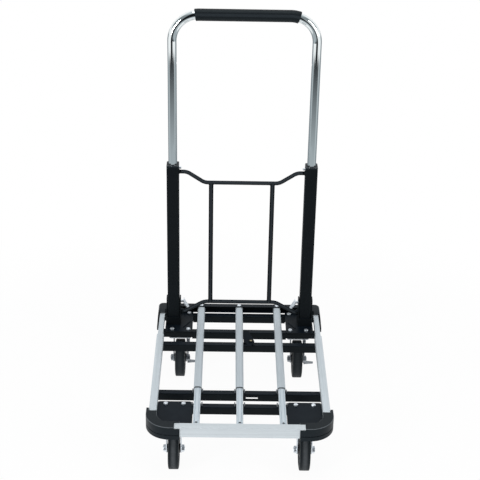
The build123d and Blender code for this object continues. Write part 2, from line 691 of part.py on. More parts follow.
def caster_bolt(x, y, seat, low):
    """A bolt with a hexagon head, or a low round one close behind the front bar."""
    nut_floor = CASTER_PLATE_FLOOR - BOLT_HEAD_HEIGHT
    body = along_z(disc(x, y, BOLT_RADIUS), nut_floor - 1, seat)
    if low:
        body += along_z(disc(x, y, BOLT_HEAD_ACROSS / 2), seat, seat + LOW_HEAD_HEIGHT)
    else:
        body += along_z(hexagon(x, y, BOLT_HEAD_ACROSS), seat, seat + BOLT_HEAD_HEIGHT)
    return body + along_z(hexagon(x, y, BOLT_HEAD_ACROSS), nut_floor, CASTER_PLATE_FLOOR)


def caster_bolts(swivel_y, seat, low_front_row):
    rows = [(swivel_y - BOLT_PITCH_Y / 2, low_front_row), (swivel_y + BOLT_PITCH_Y / 2, False)]
    bolts = []
    for x in bolt_xs():
        for y, low in rows:
            bolts += [caster_bolt(x, y, seat, low), caster_bolt(-x, y, seat, low)]
    return Compound(bolts)


parts["front_caster_bolts"] = caster_bolts(FRONT_CASTER_Y, FRONT_PLATE_TOP, True)
parts["rear_caster_bolts"] = caster_bolts(REAR_CASTER_Y, REAR_PLATE_TOP, False)


# Casters, each drawn with its swivel axis on the origin

def caster_plate():
    face = RectangleRounded(CASTER_PLATE_WIDTH, CASTER_PLATE_LENGTH, PLATE_ROUND)
    for x in (-BOLT_PITCH_X / 2, BOLT_PITCH_X / 2):
        for y in (-BOLT_PITCH_Y / 2, BOLT_PITCH_Y / 2):
            face -= disc(x, y, BOLT_HOLE_RADIUS)
    body = along_z(face, CASTER_PLATE_FLOOR, CASTER_HEIGHT)
    body += along_z(Circle(RACE_RADIUS), RACE_FLOOR, CASTER_PLATE_FLOOR)
    head_top = CROWN_FLOOR - SWIVEL_GAP
    body += along_z(Circle(KINGPIN_RADIUS), head_top, RACE_FLOOR)
    return body + along_z(Circle(KINGPIN_HEAD_RADIUS), head_top - CASTER_SHEET, head_top)


def fork_leg(trail):
    half = CROWN_LENGTH / 2
    foot = FORK_FOOT_RADIUS
    face = polygon((-half, CROWN_TOP), (half, CROWN_TOP), (half, CROWN_FLOOR), (foot - trail, AXLE_Z),
                   (-foot - trail, AXLE_Z), (-half, CROWN_FLOOR))
    return face + disc(-trail, AXLE_Z, foot)


def axle(trail):
    end = FORK_OUTSIDE + NUT_HEIGHT
    nut = hexagon(-trail, AXLE_Z, NUT_ACROSS)
    body = along_x(disc(-trail, AXLE_Z, AXLE_RADIUS), -end - 1, end + 1)
    return body + along_x(nut, FORK_OUTSIDE, end) + along_x(nut, -end, -FORK_OUTSIDE)


def fork(trail):
    half = CROWN_LENGTH / 2
    legs = fork_leg(trail)
    body = along_z(rect(-FORK_OUTSIDE, FORK_OUTSIDE, -half, half), CROWN_FLOOR, CROWN_TOP)
    body += along_x(legs, FORK_INSIDE, FORK_OUTSIDE) + along_x(legs, -FORK_OUTSIDE, -FORK_INSIDE)
    bends = body.edges().filter_by(Axis.Y).group_by(Axis.Z)[-1]
    body = fillet(bends, CROWN_BEND)
    body += along_z(Circle(RACE_RADIUS), CROWN_TOP, CUP_TOP)
    body -= along_z(Circle(KINGPIN_RADIUS + RUN_FIT), CROWN_FLOOR - 1, CUP_TOP + 1)
    return body + axle(trail)


def wheel_ring(points, trail):
    """Turn a profile drawn in (X, radius) about the axle."""
    ring = revolve(polygon(*points), axis=Axis.X)
    return Pos(0, -trail, AXLE_Z) * ring


def hub(trail):
    bore = AXLE_RADIUS + RUN_FIT
    rim = WHEEL_RADIUS - TREAD_HEIGHT
    boss = HUB_WIDTH / 2
    lip = HUB_RIM_WIDTH / 2
    dish = lip - CASTER_SHEET
    shoulder = rim - 2 * CASTER_SHEET
    right = [(boss, bore), (boss, HUB_BOSS_RADIUS), (dish, 2 * HUB_BOSS_RADIUS), (dish, shoulder),
             (lip, shoulder + CASTER_SHEET), (lip, rim)]
    left = [(-x, radius) for x, radius in reversed(right)]
    return wheel_ring(right + left, trail)


def tyre(trail):
    inner = WHEEL_RADIUS - TREAD_HEIGHT
    half = TYRE_WIDTH / 2
    shoulder = half - TYRE_TAPER
    right = [(half - TYRE_BEVEL, inner), (half, inner + TYRE_BEVEL), (half, WHEEL_RADIUS - TYRE_FLANK),
             (shoulder, WHEEL_RADIUS - TYRE_BEVEL), (shoulder - TYRE_BEVEL, WHEEL_RADIUS)]
    left = [(-x, radius) for x, radius in reversed(right)]
    return wheel_ring(right + left, trail)


# Side brake: a pressed lever, pushed forward by its foot tab, whose shoe swings against the tread

BRAKE_PIVOT_Y = BRAKE_PIVOT_BACK - REAR_TRAIL
BRAKE_PIVOT_Z = AXLE_Z + BRAKE_PIVOT_RISE
BRAKE_INSIDE = FORK_OUTSIDE + RUN_GAP
BRAKE_OUTSIDE = BRAKE_INSIDE + BRAKE_SHEET


def brake_stud():
    end = BRAKE_OUTSIDE + RUN_GAP
    stem = along_x(disc(BRAKE_PIVOT_Y, BRAKE_PIVOT_Z, BRAKE_STUD_RADIUS), FORK_OUTSIDE, end)
    head = disc(BRAKE_PIVOT_Y, BRAKE_PIVOT_Z, BRAKE_STUD_RADIUS + BRAKE_SHEET)
    return stem + along_x(head, end, end + BRAKE_SHEET)


def brake_lever():
    shoe_front = WHEEL_RADIUS - REAR_TRAIL + BRAKE_GAP
    shoe_back = shoe_front + BRAKE_SHEET
    shoe_floor = AXLE_Z - BRAKE_SHOE_DROP
    shoe_top = shoe_floor + BRAKE_SHOE_HEIGHT
    tab_front = -REAR_TRAIL + RUN_GAP
    tab_back = tab_front + BRAKE_TAB_DEPTH
    tab_floor = AXLE_Z - BRAKE_TAB_DROP
    tab_top = tab_floor + BRAKE_SHEET
    arm_front = -REAR_TRAIL + NUT_ACROSS / 2 + BRAKE_NUT_ROOM
    eye = BRAKE_EYE_RADIUS
    arm = polygon((BRAKE_PIVOT_Y - eye, BRAKE_PIVOT_Z), (arm_front, shoe_top), (arm_front, tab_top),
                  (tab_front, tab_top), (tab_front, tab_floor), (tab_back, tab_floor),
                  (arm_front + eye, shoe_floor), (shoe_back, shoe_floor), (shoe_back, shoe_top),
                  (BRAKE_PIVOT_Y + eye, BRAKE_PIVOT_Z))
    arm += disc(BRAKE_PIVOT_Y, BRAKE_PIVOT_Z, eye)
    arm -= disc(BRAKE_PIVOT_Y, BRAKE_PIVOT_Z, BRAKE_STUD_RADIUS + RUN_FIT)
    body = along_x(arm, BRAKE_INSIDE, BRAKE_OUTSIDE)
    half = TYRE_WIDTH / 2 - TYRE_TAPER
    body += block(-half, BRAKE_OUTSIDE, shoe_front, shoe_back, shoe_floor, shoe_top)
    tip = BRAKE_OUTSIDE + BRAKE_TAB_LENGTH
    middle = (tab_front + tab_back) / 2
    half_tip = BRAKE_TAB_TIP / 2
    tab = polygon((BRAKE_INSIDE, tab_front), (tip, middle - half_tip), (tip, middle + half_tip),
                  (BRAKE_INSIDE, tab_back))
    return body + along_z(tab, tab_floor, tab_top)


CASTERS = {
    "front_left": (-CASTER_X, FRONT_CASTER_Y, FRONT_TRAIL),
    "front_right": (CASTER_X, FRONT_CASTER_Y, FRONT_TRAIL),
    "rear_left": (-CASTER_X, REAR_CASTER_Y, REAR_TRAIL),
    "rear_right": (CASTER_X, REAR_CASTER_Y, REAR_TRAIL),
}

for end in ("front", "rear"):
    plates = [Pos(x, y, 0) * caster_plate() for name, (x, y, _) in CASTERS.items() if name.startswith(end)]
    parts[end + "_caster_plates"] = Compound(plates)

for name, (x, y, trail) in CASTERS.items():
    place = Pos(x, y, 0)
    forked = fork(trail)
    if name.startswith("rear"):
        forked += brake_stud()
        parts["brake_lever_" + name] = place * brake_lever()
    parts["fork_" + name] = place * forked
    parts["hub_" + name] = place * hub(trail)
    parts["tyre_" + name] = place * tyre(trail)


# Hinge brackets: a pressed U whose low front wall stops the upright and whose ears carry the pivot

def hinge_bracket():
    front = UPRIGHT_FRONT - STOP_GAP - BRACKET_SHEET
    floor = REAR_PLATE_TOP
    wall_top = PIVOT_Z - PIVOT_SETBACK - FOLD_GAP
    crest = floor + EAR_HEIGHT
    corners = [(front + EAR_LEAN, crest), (front + EAR_LEAN + EAR_CREST, crest)]
    ear = polygon((front, floor), (front, wall_top), *corners, (front + EAR_BASE, floor))
    for corner in corners:
        ear = round_corner(ear, corner, EAR_ROUND)
    ear -= disc(PIVOT_Y, PIVOT_Z, PIVOT_RADIUS + RUN_FIT)
    inner_ear = ear - disc(LOCK_Y, LOCK_Z, LOCK_RADIUS + RUN_FIT)
    body = along_x(inner_ear, EAR_INNER_FACE - BRACKET_SHEET, EAR_INNER_FACE)
    body += along_x(ear, EAR_OUTER_FACE, EAR_OUTER_FACE + BRACKET_SHEET)
    body += block(EAR_INNER_FACE, EAR_OUTER_FACE, front, front + BRACKET_SHEET, floor, wall_top)
    bends = body.edges().filter_by(Axis.Z).group_by(Axis.Y)[0]
    return fillet(bends, BRACKET_BEND)


def pivot_bolt():
    outside = EAR_OUTER_FACE + BRACKET_SHEET
    body = along_x(disc(PIVOT_Y, PIVOT_Z, PIVOT_RADIUS), BARREL_OUTER_END - BARREL_GRIP, outside)
    head = hexagon(PIVOT_Y, PIVOT_Z, PIVOT_HEAD_ACROSS)
    return body + along_x(head, outside, outside + PIVOT_HEAD_HEIGHT)


def barrel_nut():
    body = along_x(disc(PIVOT_Y, PIVOT_Z, BARREL_RADIUS), BARREL_INNER_END, BARREL_OUTER_END)
    floor = BARREL_OUTER_END - BARREL_GRIP
    body -= along_x(disc(PIVOT_Y, PIVOT_Z, WIRE_RADIUS + RUN_FIT), BARREL_INNER_END, floor)
    return body - along_x(disc(PIVOT_Y, PIVOT_Z, PIVOT_RADIUS + RUN_FIT), floor, BARREL_OUTER_END)


pair("hinge_bracket", hinge_bracket())
parts["pivot_bolts"] = Compound([pivot_bolt(), flip(pivot_bolt())])
parts["barrel_nuts"] = Compound([barrel_nut(), flip(barrel_nut())])


# Fold lock: a pin through the inner ear with a slanted finger tab

def lock_plunger():
    nose = EAR_INNER_FACE - LOCK_RELIEF
    stem = BARREL_OUTER_END - 1.5 * LOCK_TRAVEL
    pin = along_x(disc(LOCK_Y, LOCK_Z, LOCK_RADIUS), stem, nose)
    head = LOCK_Z + LOCK_RADIUS
    knee = LOCK_Z - LOCK_RADIUS
    foot = knee - TAB_DROP
    back = stem - TAB_SHEET
    tab = polygon((back, LOCK_Z), (stem, LOCK_Z), (stem, knee), (stem - TAB_FLARE, foot),
                  (back - TAB_FLARE, foot), (back, knee))
    front = PIVOT_Y + BARREL_RADIUS + RUN_GAP
    end_plate = along_y(rect(back, stem, knee, head), LOCK_Y - LOCK_RADIUS, LOCK_Y + LOCK_RADIUS)
    return pin + end_plate + along_y(tab, front, front + TAB_WIDTH)


pair("lock_plunger", lock_plunger())


# Uprights: rectangular tubes that fold forward about the pivot bolts

def upright():
    inside_width = UPRIGHT_WIDTH - 2 * UPRIGHT_WALL
    inside_depth = UPRIGHT_DEPTH - 2 * UPRIGHT_WALL
    ring = RectangleRounded(UPRIGHT_WIDTH, UPRIGHT_DEPTH, UPRIGHT_ROUND)
    ring -= RectangleRounded(inside_width, inside_depth, UPRIGHT_ROUND - UPRIGHT_WALL)
    body = along_z(Pos(UPRIGHT_X, UPRIGHT_Y) * ring, UPRIGHT_BOTTOM, UPRIGHT_TOP)
    body -= along_x(disc(PIVOT_Y, PIVOT_Z, PIVOT_RADIUS + RUN_FIT), EAR_INNER_FACE, EAR_OUTER_FACE)
    body -= along_x(disc(LOCK_Y, LOCK_Z, LOCK_RADIUS + LOCK_ROOM), EAR_INNER_FACE, UPRIGHT_X)
    return body - along_x(disc(UPRIGHT_Y, BUTTON_Z, BUTTON_RADIUS + BUTTON_ROOM), EAR_INNER_FACE, UPRIGHT_X)


def collar():
    """A plastic bush in the upright's mouth, which guides the handle and carries the push button."""
    width = UPRIGHT_WIDTH - 2 * UPRIGHT_WALL - 2 * COLLAR_PLUG_GAP
    depth = UPRIGHT_DEPTH - 2 * UPRIGHT_WALL - 2 * COLLAR_PLUG_GAP
    place = Pos(UPRIGHT_X, UPRIGHT_Y)
    body = along_z(place * RectangleRounded(width, depth, UPRIGHT_ROUND - UPRIGHT_WALL),
                   UPRIGHT_TOP - COLLAR_PLUG, UPRIGHT_TOP)
    crest = UPRIGHT_TOP + COLLAR_HEIGHT
    cover = RectangleRounded(UPRIGHT_WIDTH, UPRIGHT_DEPTH, UPRIGHT_ROUND)
    body += along_z(place * cover, UPRIGHT_TOP, crest)
    body = fillet(body.edges().group_by(Axis.Z)[-1], COLLAR_ROUND)
    bore = along_z(place * Circle(TUBE_RADIUS + COLLAR_BORE_GAP), UPRIGHT_TOP - COLLAR_PLUG, crest)
    hole = along_x(disc(UPRIGHT_Y, BUTTON_Z, BUTTON_RADIUS + RUN_FIT), EAR_INNER_FACE, UPRIGHT_X)
    return body - bore - hole


def push_button():
    outside = UPRIGHT_INNER_FACE - BUTTON_PROUD
    nose = UPRIGHT_X - TUBE_RADIUS - BUTTON_SHY
    body = along_x(disc(UPRIGHT_Y, BUTTON_Z, BUTTON_RADIUS), outside, nose)
    return fillet(body.edges().group_by(Axis.X)[0], BUTTON_DOME)


pair("upright", upright())
parts["upright_collars"] = Compound([collar(), flip(collar())])
pair("push_button", push_button())


# Wire back frame

def wire(points, bends):
    path = FilletPolyline(*points, radius=bends + bends[::-1])
    section = Plane(origin=path @ 0, z_dir=path % 0) * Circle(WIRE_RADIUS)
    return sweep(section, path=path)


wire_top = UPRIGHT_TOP - WIRE_TOP_DROP
wire_dip = wire_top - WIRE_DIP
wire_low = PIVOT_Z + WIRE_LOWER_RISE
stub = UPRIGHT_INNER_FACE - WIRE_STUB
pin_end = BARREL_OUTER_END - BARREL_GRIP - RUN_GAP
top_half = [(UPRIGHT_INNER_FACE, wire_top), (stub, wire_top), (WIRE_CENTRE_HALF, wire_dip)]
low_half = [(pin_end, PIVOT_Z), (WIRE_LOWER_REACH, PIVOT_Z), (WIRE_CENTRE_HALF, wire_low)]


def wire_route(half):
    right = [(x, PIVOT_Y, z) for x, z in half]
    left = [(-x, PIVOT_Y, z) for x, z in reversed(half)]
    return right + left


top_rod = wire(wire_route(top_half), [WIRE_TOP_BEND, WIRE_TOP_BEND])
lower_rod = wire(wire_route(low_half), [WIRE_FOOT_BEND, WIRE_LOWER_BEND])


def post(x):
    body = along_z(disc(x, PIVOT_Y, WIRE_POST_RADIUS), wire_low, wire_dip)
    return body - top_rod - lower_rod


parts["back_top_rod"] = top_rod
parts["back_lower_rod"] = lower_rod
parts["back_posts"] = Compound([post(-WIRE_POST_X), post(WIRE_POST_X)])


# Telescoping handle

def handle_tube():
    left_leg = [(-UPRIGHT_X, LEG_END), (-UPRIGHT_X, HANDLE_TOP)]
    points = left_leg + [(UPRIGHT_X, HANDLE_TOP), (UPRIGHT_X, LEG_END)]
    path = FilletPolyline(*[(x, UPRIGHT_Y, z) for x, z in points], radius=TUBE_BEND)
    section = Circle(TUBE_RADIUS) - Circle(TUBE_RADIUS - TUBE_WALL)
    body = sweep(Plane(origin=path @ 0, z_dir=path % 0) * section, path=path)
    for z in (BUTTON_Z, BUTTON_Z + HANDLE_TRAVEL):
        hole = along_x(disc(UPRIGHT_Y, z, BUTTON_RADIUS + BUTTON_ROOM), UPRIGHT_INNER_FACE, UPRIGHT_X)
        body -= hole + flip(hole)
    return body


def grip():
    """A sleeve over the top of the handle that runs a little way on to both bends."""
    straight = UPRIGHT_X - TUBE_BEND
    centre_z = HANDLE_TOP - TUBE_BEND

    def on_bend(side, reach, share):
        angle = share * math.asin((reach - straight) / TUBE_BEND)
        x = side * (straight + TUBE_BEND * math.sin(angle))
        return (x, UPRIGHT_Y, centre_z + TUBE_BEND * math.cos(angle))

    left = [on_bend(-1, GRIP_LEFT_REACH, share) for share in (1, 0.5, 0)]
    right = [on_bend(1, GRIP_RIGHT_REACH, share) for share in (0, 0.5, 1)]
    middle = Line(left[-1], right[0]).edges()
    path = Wire([*ThreePointArc(*left).edges(), *middle, *ThreePointArc(*right).edges()])
    section = Circle(GRIP_RADIUS) - Circle(TUBE_RADIUS + GRIP_GAP)
    return sweep(Plane(origin=path @ 0, z_dir=path % 0) * section, path=path)


def glide():
    width = UPRIGHT_WIDTH - 2 * UPRIGHT_WALL - 2 * GLIDE_GAP
    depth = UPRIGHT_DEPTH - 2 * UPRIGHT_WALL - 2 * GLIDE_GAP
    place = Pos(UPRIGHT_X, UPRIGHT_Y)
    outline = RectangleRounded(width, depth, UPRIGHT_ROUND - UPRIGHT_WALL)
    body = along_z(place * outline, LEG_END - GLIDE_HEIGHT, LEG_END)
    spigot = TUBE_RADIUS - TUBE_WALL - SPIGOT_GAP
    return body + along_z(place * Circle(spigot), LEG_END, LEG_END + GLIDE_SPIGOT)


parts["handle_tube"] = handle_tube()
parts["handle_grip"] = grip()
parts["leg_glides"] = Compound([glide(), flip(glide())])


# Extension latch: a lever beside the centre slat, turning on a rivet in the latch channel

def latch_lever():
    slat_side = SLAT_WIDTH / 2 + LATCH_NOSE_GAP
    tail_y = LATCH_CHANNEL_Y + LATCH_TAIL
    edge = slat_side + LATCH_NOSE_GAP
    plate = polygon((edge, LATCH_CHANNEL_Y), (edge, tail_y), (edge + LATCH_TAIL_WIDTH, tail_y),
                    (LATCH_X + LATCH_EYE_RADIUS, LATCH_CHANNEL_Y))
    plate += disc(LATCH_X, LATCH_CHANNEL_Y, LATCH_EYE_RADIUS)
    nose_back = LATCH_NOSE_Y + LATCH_NOSE_WIDTH / 2
    nose_front = nose_back - LATCH_NOSE_WIDTH
    eye_side = LATCH_X + LATCH_EYE_RADIUS
    plate += polygon((slat_side, nose_front), (LATCH_X, nose_front), (eye_side, LATCH_CHANNEL_Y),
                     (edge, LATCH_CHANNEL_Y), (LATCH_X - LATCH_EYE_RADIUS, nose_back),
                     (slat_side, nose_back))
    plate -= disc(LATCH_X, LATCH_CHANNEL_Y, LATCH_RIVET_RADIUS + RUN_FIT)
    return along_z(plate, LATCH_Z, LATCH_Z + LATCH_SHEET)


def latch_rivet():
    head_floor = LATCH_Z + LATCH_SHEET + LATCH_GAP
    spacer = disc(LATCH_X, LATCH_CHANNEL_Y, LATCH_HEAD_RADIUS)
    body = along_z(disc(LATCH_X, LATCH_CHANNEL_Y, LATCH_RIVET_RADIUS), REAR_SEAT - CHANNEL_WALL, head_floor)
    body += along_z(spacer, REAR_SEAT, LATCH_Z - LATCH_GAP)
    head = along_z(spacer, head_floor, head_floor + LATCH_HEAD_HEIGHT)
    return body + fillet(head.edges().group_by(Axis.Z)[-1], LATCH_HEAD_HEIGHT * 0.7)


parts["extension_latch"] = latch_lever()
parts["latch_rivet"] = latch_rivet()

os.makedirs("parts", exist_ok=True)
for name, shape in parts.items():
    export_step(shape, os.path.join("parts", name + ".step"))
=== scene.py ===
# %% [markdown]
# # A folding platform truck
# The truck has an extendable slatted deck on four swivel casters and a fold-down handle. Its solids
# come packed with their joints, so every mesh here is made in that same frame, in metres, and rides on
# one of its bodies. This lesson gives the solids their finish: soft edges, smooth tubes, real bolts and
# materials that are worked out from noise, from places and from the way a face looks.

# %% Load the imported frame
import json
import math

import bmesh
import bpy
from mathutils import Matrix, Vector

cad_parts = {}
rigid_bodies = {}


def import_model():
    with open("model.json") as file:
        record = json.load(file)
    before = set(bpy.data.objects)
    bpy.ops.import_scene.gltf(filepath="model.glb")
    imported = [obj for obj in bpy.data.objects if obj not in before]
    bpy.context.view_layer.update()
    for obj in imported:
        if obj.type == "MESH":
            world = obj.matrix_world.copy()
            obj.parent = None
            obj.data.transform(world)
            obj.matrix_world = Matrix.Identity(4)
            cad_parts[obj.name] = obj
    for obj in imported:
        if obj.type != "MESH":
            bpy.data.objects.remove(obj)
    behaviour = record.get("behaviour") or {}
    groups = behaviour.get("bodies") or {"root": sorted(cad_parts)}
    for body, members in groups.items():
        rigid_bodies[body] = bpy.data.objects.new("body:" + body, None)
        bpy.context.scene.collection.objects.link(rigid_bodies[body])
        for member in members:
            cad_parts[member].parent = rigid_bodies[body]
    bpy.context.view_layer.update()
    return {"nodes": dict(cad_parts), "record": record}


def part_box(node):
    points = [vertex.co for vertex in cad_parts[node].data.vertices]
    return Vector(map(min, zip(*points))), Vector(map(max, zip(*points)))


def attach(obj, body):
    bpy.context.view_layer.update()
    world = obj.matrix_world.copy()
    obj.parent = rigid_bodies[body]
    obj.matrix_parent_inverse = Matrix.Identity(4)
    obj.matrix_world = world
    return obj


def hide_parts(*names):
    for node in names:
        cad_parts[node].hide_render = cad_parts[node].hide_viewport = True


for leftover in list(bpy.data.objects):
    bpy.data.objects.remove(leftover)
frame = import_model()
scene = bpy.context.scene
scene.view_settings.view_transform = "Standard"

# %% [markdown]
# ## Camera
# The photo was taken from a little above the handle with a long lens. A camera can be placed by eye, or
# fitted: the vanishing points of the rails give the lens, and the known wheel size gives the distance.
# The fitted numbers are used, because a camera that is right makes every later comparison honest.

# %% Camera
LENS_PIXELS = 1267.7
FRAME_PIXELS = 480.0
CAMERA_PLACE = (-0.0382, -2.7058, 1.8626)
CAMERA_YAW = math.radians(0.711)
CAMERA_PITCH = math.radians(26.794)
CAMERA_ROLL = math.radians(1.102)
SENSOR_WIDTH = 36.0
CLIP_END = 60.0


def camera_turn(yaw, pitch, roll):
    """The rotation of a camera that looks along +Y turned by yaw, tipped down by pitch, then rolled."""
    ahead = Vector((math.sin(yaw) * math.cos(pitch), math.cos(yaw) * math.cos(pitch), -math.sin(pitch)))
    right = Vector((math.cos(yaw), -math.sin(yaw), 0.0))
    up = right.cross(ahead)
    rolled_right = math.cos(roll) * right + math.sin(roll) * up
    rolled_up = math.cos(roll) * up - math.sin(roll) * right
    return Matrix((rolled_right, rolled_up, -ahead)).transposed()


camera = bpy.data.objects.new("camera", bpy.data.cameras.new("camera"))
scene.collection.objects.link(camera)
turn = camera_turn(CAMERA_YAW, CAMERA_PITCH, CAMERA_ROLL)
camera.matrix_world = Matrix.Translation(CAMERA_PLACE) @ turn.to_4x4()
camera.data.sensor_width = SENSOR_WIDTH
camera.data.lens = LENS_PIXELS / FRAME_PIXELS * SENSOR_WIDTH
camera.data.clip_end = CLIP_END
scene.camera = camera
print("lens", round(camera.data.lens, 2))

# %% [markdown]
# ## Writing nodes as plain maths
# A material or a geometry tree is a net of nodes. Placing them by hand in code is long and hard to read,
# so one small class wraps a socket and turns sums and products into Math nodes, and one method adds any
# other node from its type, its settings and what goes into its sockets.

# %% Node helpers
class Value:
    """One output socket. Sums, products and powers of values add Math nodes to its tree."""

    def __init__(self, net, socket):
        self.net = net
        self.socket = socket

    def __add__(self, other):
        return self.net.maths("ADD", self, other)

    def __sub__(self, other):
        return self.net.maths("SUBTRACT", self, other)

    def __rsub__(self, other):
        return self.net.maths("SUBTRACT", other, self)

    def __mul__(self, other):
        return self.net.maths("MULTIPLY", self, other)

    def __truediv__(self, other):
        return self.net.maths("DIVIDE", self, other)

    def __rtruediv__(self, other):
        return self.net.maths("DIVIDE", other, self)

    def __pow__(self, other):
        return self.net.maths("POWER", self, other)

    __radd__ = __add__
    __rmul__ = __mul__

    def also(self, output):
        """Another output of the same node."""
        return Value(self.net, self.socket.node.outputs[output])


class Net:
    """A node tree that is written from top to bottom."""

    def __init__(self, tree):
        self.tree = tree

    def node(self, kind, settings=None, inputs=None, output=0):
        """Add a node, set it up, feed its sockets by name or number, and hand back one output."""
        made = self.tree.nodes.new(kind)
        for name, setting in (settings or {}).items():
            setattr(made, name, setting)
        for key, value in (inputs or {}).items():
            socket = made.inputs[key]
            for source in value if isinstance(value, list) else [value]:
                if isinstance(source, Value):
                    self.tree.links.new(source.socket, socket)
                else:
                    socket.default_value = source
        return Value(self, made.outputs[output]) if made.outputs else made

    def maths(self, operation, *terms):
        """A Math node on values or plain numbers."""
        return self.node("ShaderNodeMath", {"operation": operation}, dict(enumerate(terms)))

    def between(self, value, low, high):
        """0 below low, 1 above high and a smooth step between them."""
        return self.node("ShaderNodeMapRange", {"interpolation_type": "SMOOTHSTEP"},
                         {"Value": value, "From Min": low, "From Max": high})

    def tint(self, mask, first, second):
        """A colour that goes from the first to the second as the mask goes from 0 to 1."""
        return self.node("ShaderNodeMix", {"data_type": "RGBA"}, {0: mask, 6: first, 7: second}, 2)


print("node helpers ready")

# %% [markdown]
# ## Stage and light
# The photo is a cut-out on white. A white backdrop must not act as extra light, so the white is shown to
# the camera and to reflections only, and the truck itself is lit at a lower, plain level. Bright tube that
# mirrors nothing but white looks like paper, so reflections see a whole studio: white sides, a dark gap in
# front between the lights, a dim upper front and ceiling, grey floor at the sides and behind, and in front a
# floor that darkens with distance. A picture of a studio could serve, but a few soft steps by height and
# direction need no file. The floor is a sheet of white paper. It is mostly white by itself and takes a soft
# shadow on top, and in reflections its rim goes over into the grey floor.

# %% World
SKY_LEVEL = 0.55
SKY_TINT = (0.97, 0.985, 1.0, 1.0)
PAPER_WHITE = (1.0, 1.0, 1.0, 1.0)
ROOM_DARK = (0.006, 0.007, 0.009, 1.0)
ROOM_FLOOR = (0.40, 0.44, 0.46, 1.0)
ROOM_SIDE = (0.47, 0.51, 0.53, 1.0)
ROOM_BACK = (0.24, 0.27, 0.29, 1.0)
ROOM_CEILING = (0.58, 0.62, 0.64, 1.0)
ROOM_UPPER = (0.24, 0.27, 0.28, 1.0)
GAP_TURN = math.radians(4.0)
# Heights of a direction, from -1 straight down to 1 straight up, between which the room changes.
FLOOR_FAR = -0.318
FLOOR_NEAR = -0.395
HORIZON = (-0.325, -0.314)
BACK_TOP = (-0.15, 0.0)
UPPER_FOOT = (0.05, 0.35)
GAP_TOP = (0.70, 0.82)
CEILING_EDGE = (0.72, 0.90)
# How far a direction looks to the front, from -1 straight back to 1, where the room changes.
SIDE_EDGE = (0.35, 0.62)
GAP_EDGE = (0.88, 0.96)
UPPER_EDGE = (-0.3, 0.0)
BACK_EDGE = (0.0, 0.35)


def seen_rays(net):
    """A mask for rays that show the backdrop, and one for mirror-like rays alone."""
    path = net.node("ShaderNodeLightPath", output="Is Camera Ray")
    mirrored = path.also("Is Glossy Ray")
    shown = net.maths("MAXIMUM", net.maths("MAXIMUM", path, mirrored), path.also("Is Transmission Ray"))
    return shown, mirrored


def room_colour(net):
    """The studio that reflections see, by direction alone."""
    heading = net.node("ShaderNodeTexCoord", output="Generated")
    sideways = net.node("ShaderNodeSeparateXYZ", inputs={0: heading})
    height = sideways.also("Z")
    ahead = sideways.also("Y") * -math.cos(GAP_TURN) - sideways * math.sin(GAP_TURN)
    frontward = ahead / (1.0 - height * height) ** 0.5
    near = net.node("ShaderNodeMapRange", inputs={
        "Value": height, "From Min": FLOOR_FAR, "From Max": FLOOR_NEAR})
    floor_ahead = net.tint(near, ROOM_DARK, ROOM_FLOOR)
    ground = net.tint(net.between(frontward, *SIDE_EDGE), ROOM_SIDE, floor_ahead)
    above = net.between(height, *UPPER_FOOT) * net.between(frontward, *UPPER_EDGE)
    front = net.tint(above, PAPER_WHITE, ROOM_UPPER)
    upper = net.tint(net.between(height, *CEILING_EDGE), front, ROOM_CEILING)
    gap = net.between(frontward, *GAP_EDGE) * (1.0 - net.between(height, *GAP_TOP))
    wall = net.tint(gap, upper, ROOM_DARK)
    around = net.tint(net.between(height, *HORIZON), ground, wall)
    behind = net.between(0.0 - frontward, *BACK_EDGE) * (1.0 - net.between(height, *BACK_TOP))
    return net.tint(behind, around, ROOM_BACK)


def make_world():
    """White for the camera, the room for reflections, and plain light for everything else."""
    world = bpy.data.worlds.new("studio")
    world.use_nodes = True
    world.node_tree.nodes.clear()
    net = Net(world.node_tree)
    shown, mirrored = seen_rays(net)
    seen = net.tint(mirrored, PAPER_WHITE, room_colour(net))
    backdrop = net.node("ShaderNodeBackground", inputs={"Color": seen, "Strength": 1.0})
    light = net.node("ShaderNodeBackground", inputs={"Color": SKY_TINT, "Strength": SKY_LEVEL})
    mixed = net.node("ShaderNodeMixShader", inputs={0: shown, 1: light, 2: backdrop})
    net.node("ShaderNodeOutputWorld", inputs={"Surface": mixed})
    return world


scene.world = make_world()
print("world", scene.world.name, "sky level", SKY_LEVEL)

# %% Floor
FLOOR_REACH = 1.3
FLOOR_DROP = 0.0004
FLOOR_FADE = (0.70, 1.20)
FLOOR_DIM = (0.72, 0.95)
FLOOR_OWN_WHITE = 0.95
FLOOR_SIDES = 96
FIBRE_SCALE = 300.0
PAPER_DARKER = (0.86, 0.86, 0.86, 1.0)
PAPER_LIGHTER = (0.90, 0.90, 0.90, 1.0)


def paper_material():
    """White paper that shows its own white and lets a soft shadow through."""
    material = bpy.data.materials.new("floor_paper")
    material.use_nodes = True
    material.node_tree.nodes.clear()
    net = Net(material.node_tree)
    shown, mirrored = seen_rays(net)
    place = net.node("ShaderNodeTexCoord", output="Object")
    distance = net.node("ShaderNodeVectorMath", {"operation": "LENGTH"}, {0: place}, "Value")
    own_share = FLOOR_OWN_WHITE + net.between(distance, *FLOOR_FADE) * (1.0 - FLOOR_OWN_WHITE)
    fibres = net.node("ShaderNodeTexNoise", inputs={"Vector": place, "Scale": FIBRE_SCALE, "Detail": 2.0})
    lit = net.node("ShaderNodeBsdfDiffuse", inputs={"Color": net.tint(fibres, PAPER_DARKER, PAPER_LIGHTER)})
    white = net.tint(mirrored * net.between(distance, *FLOOR_DIM), PAPER_WHITE, ROOM_FLOOR)
    own = net.node("ShaderNodeEmission", inputs={"Color": white, "Strength": 1.0})
    mixed = net.node("ShaderNodeMixShader", inputs={0: shown * own_share, 1: lit, 2: own})
    net.node("ShaderNodeOutputMaterial", inputs={"Surface": mixed})
    return material


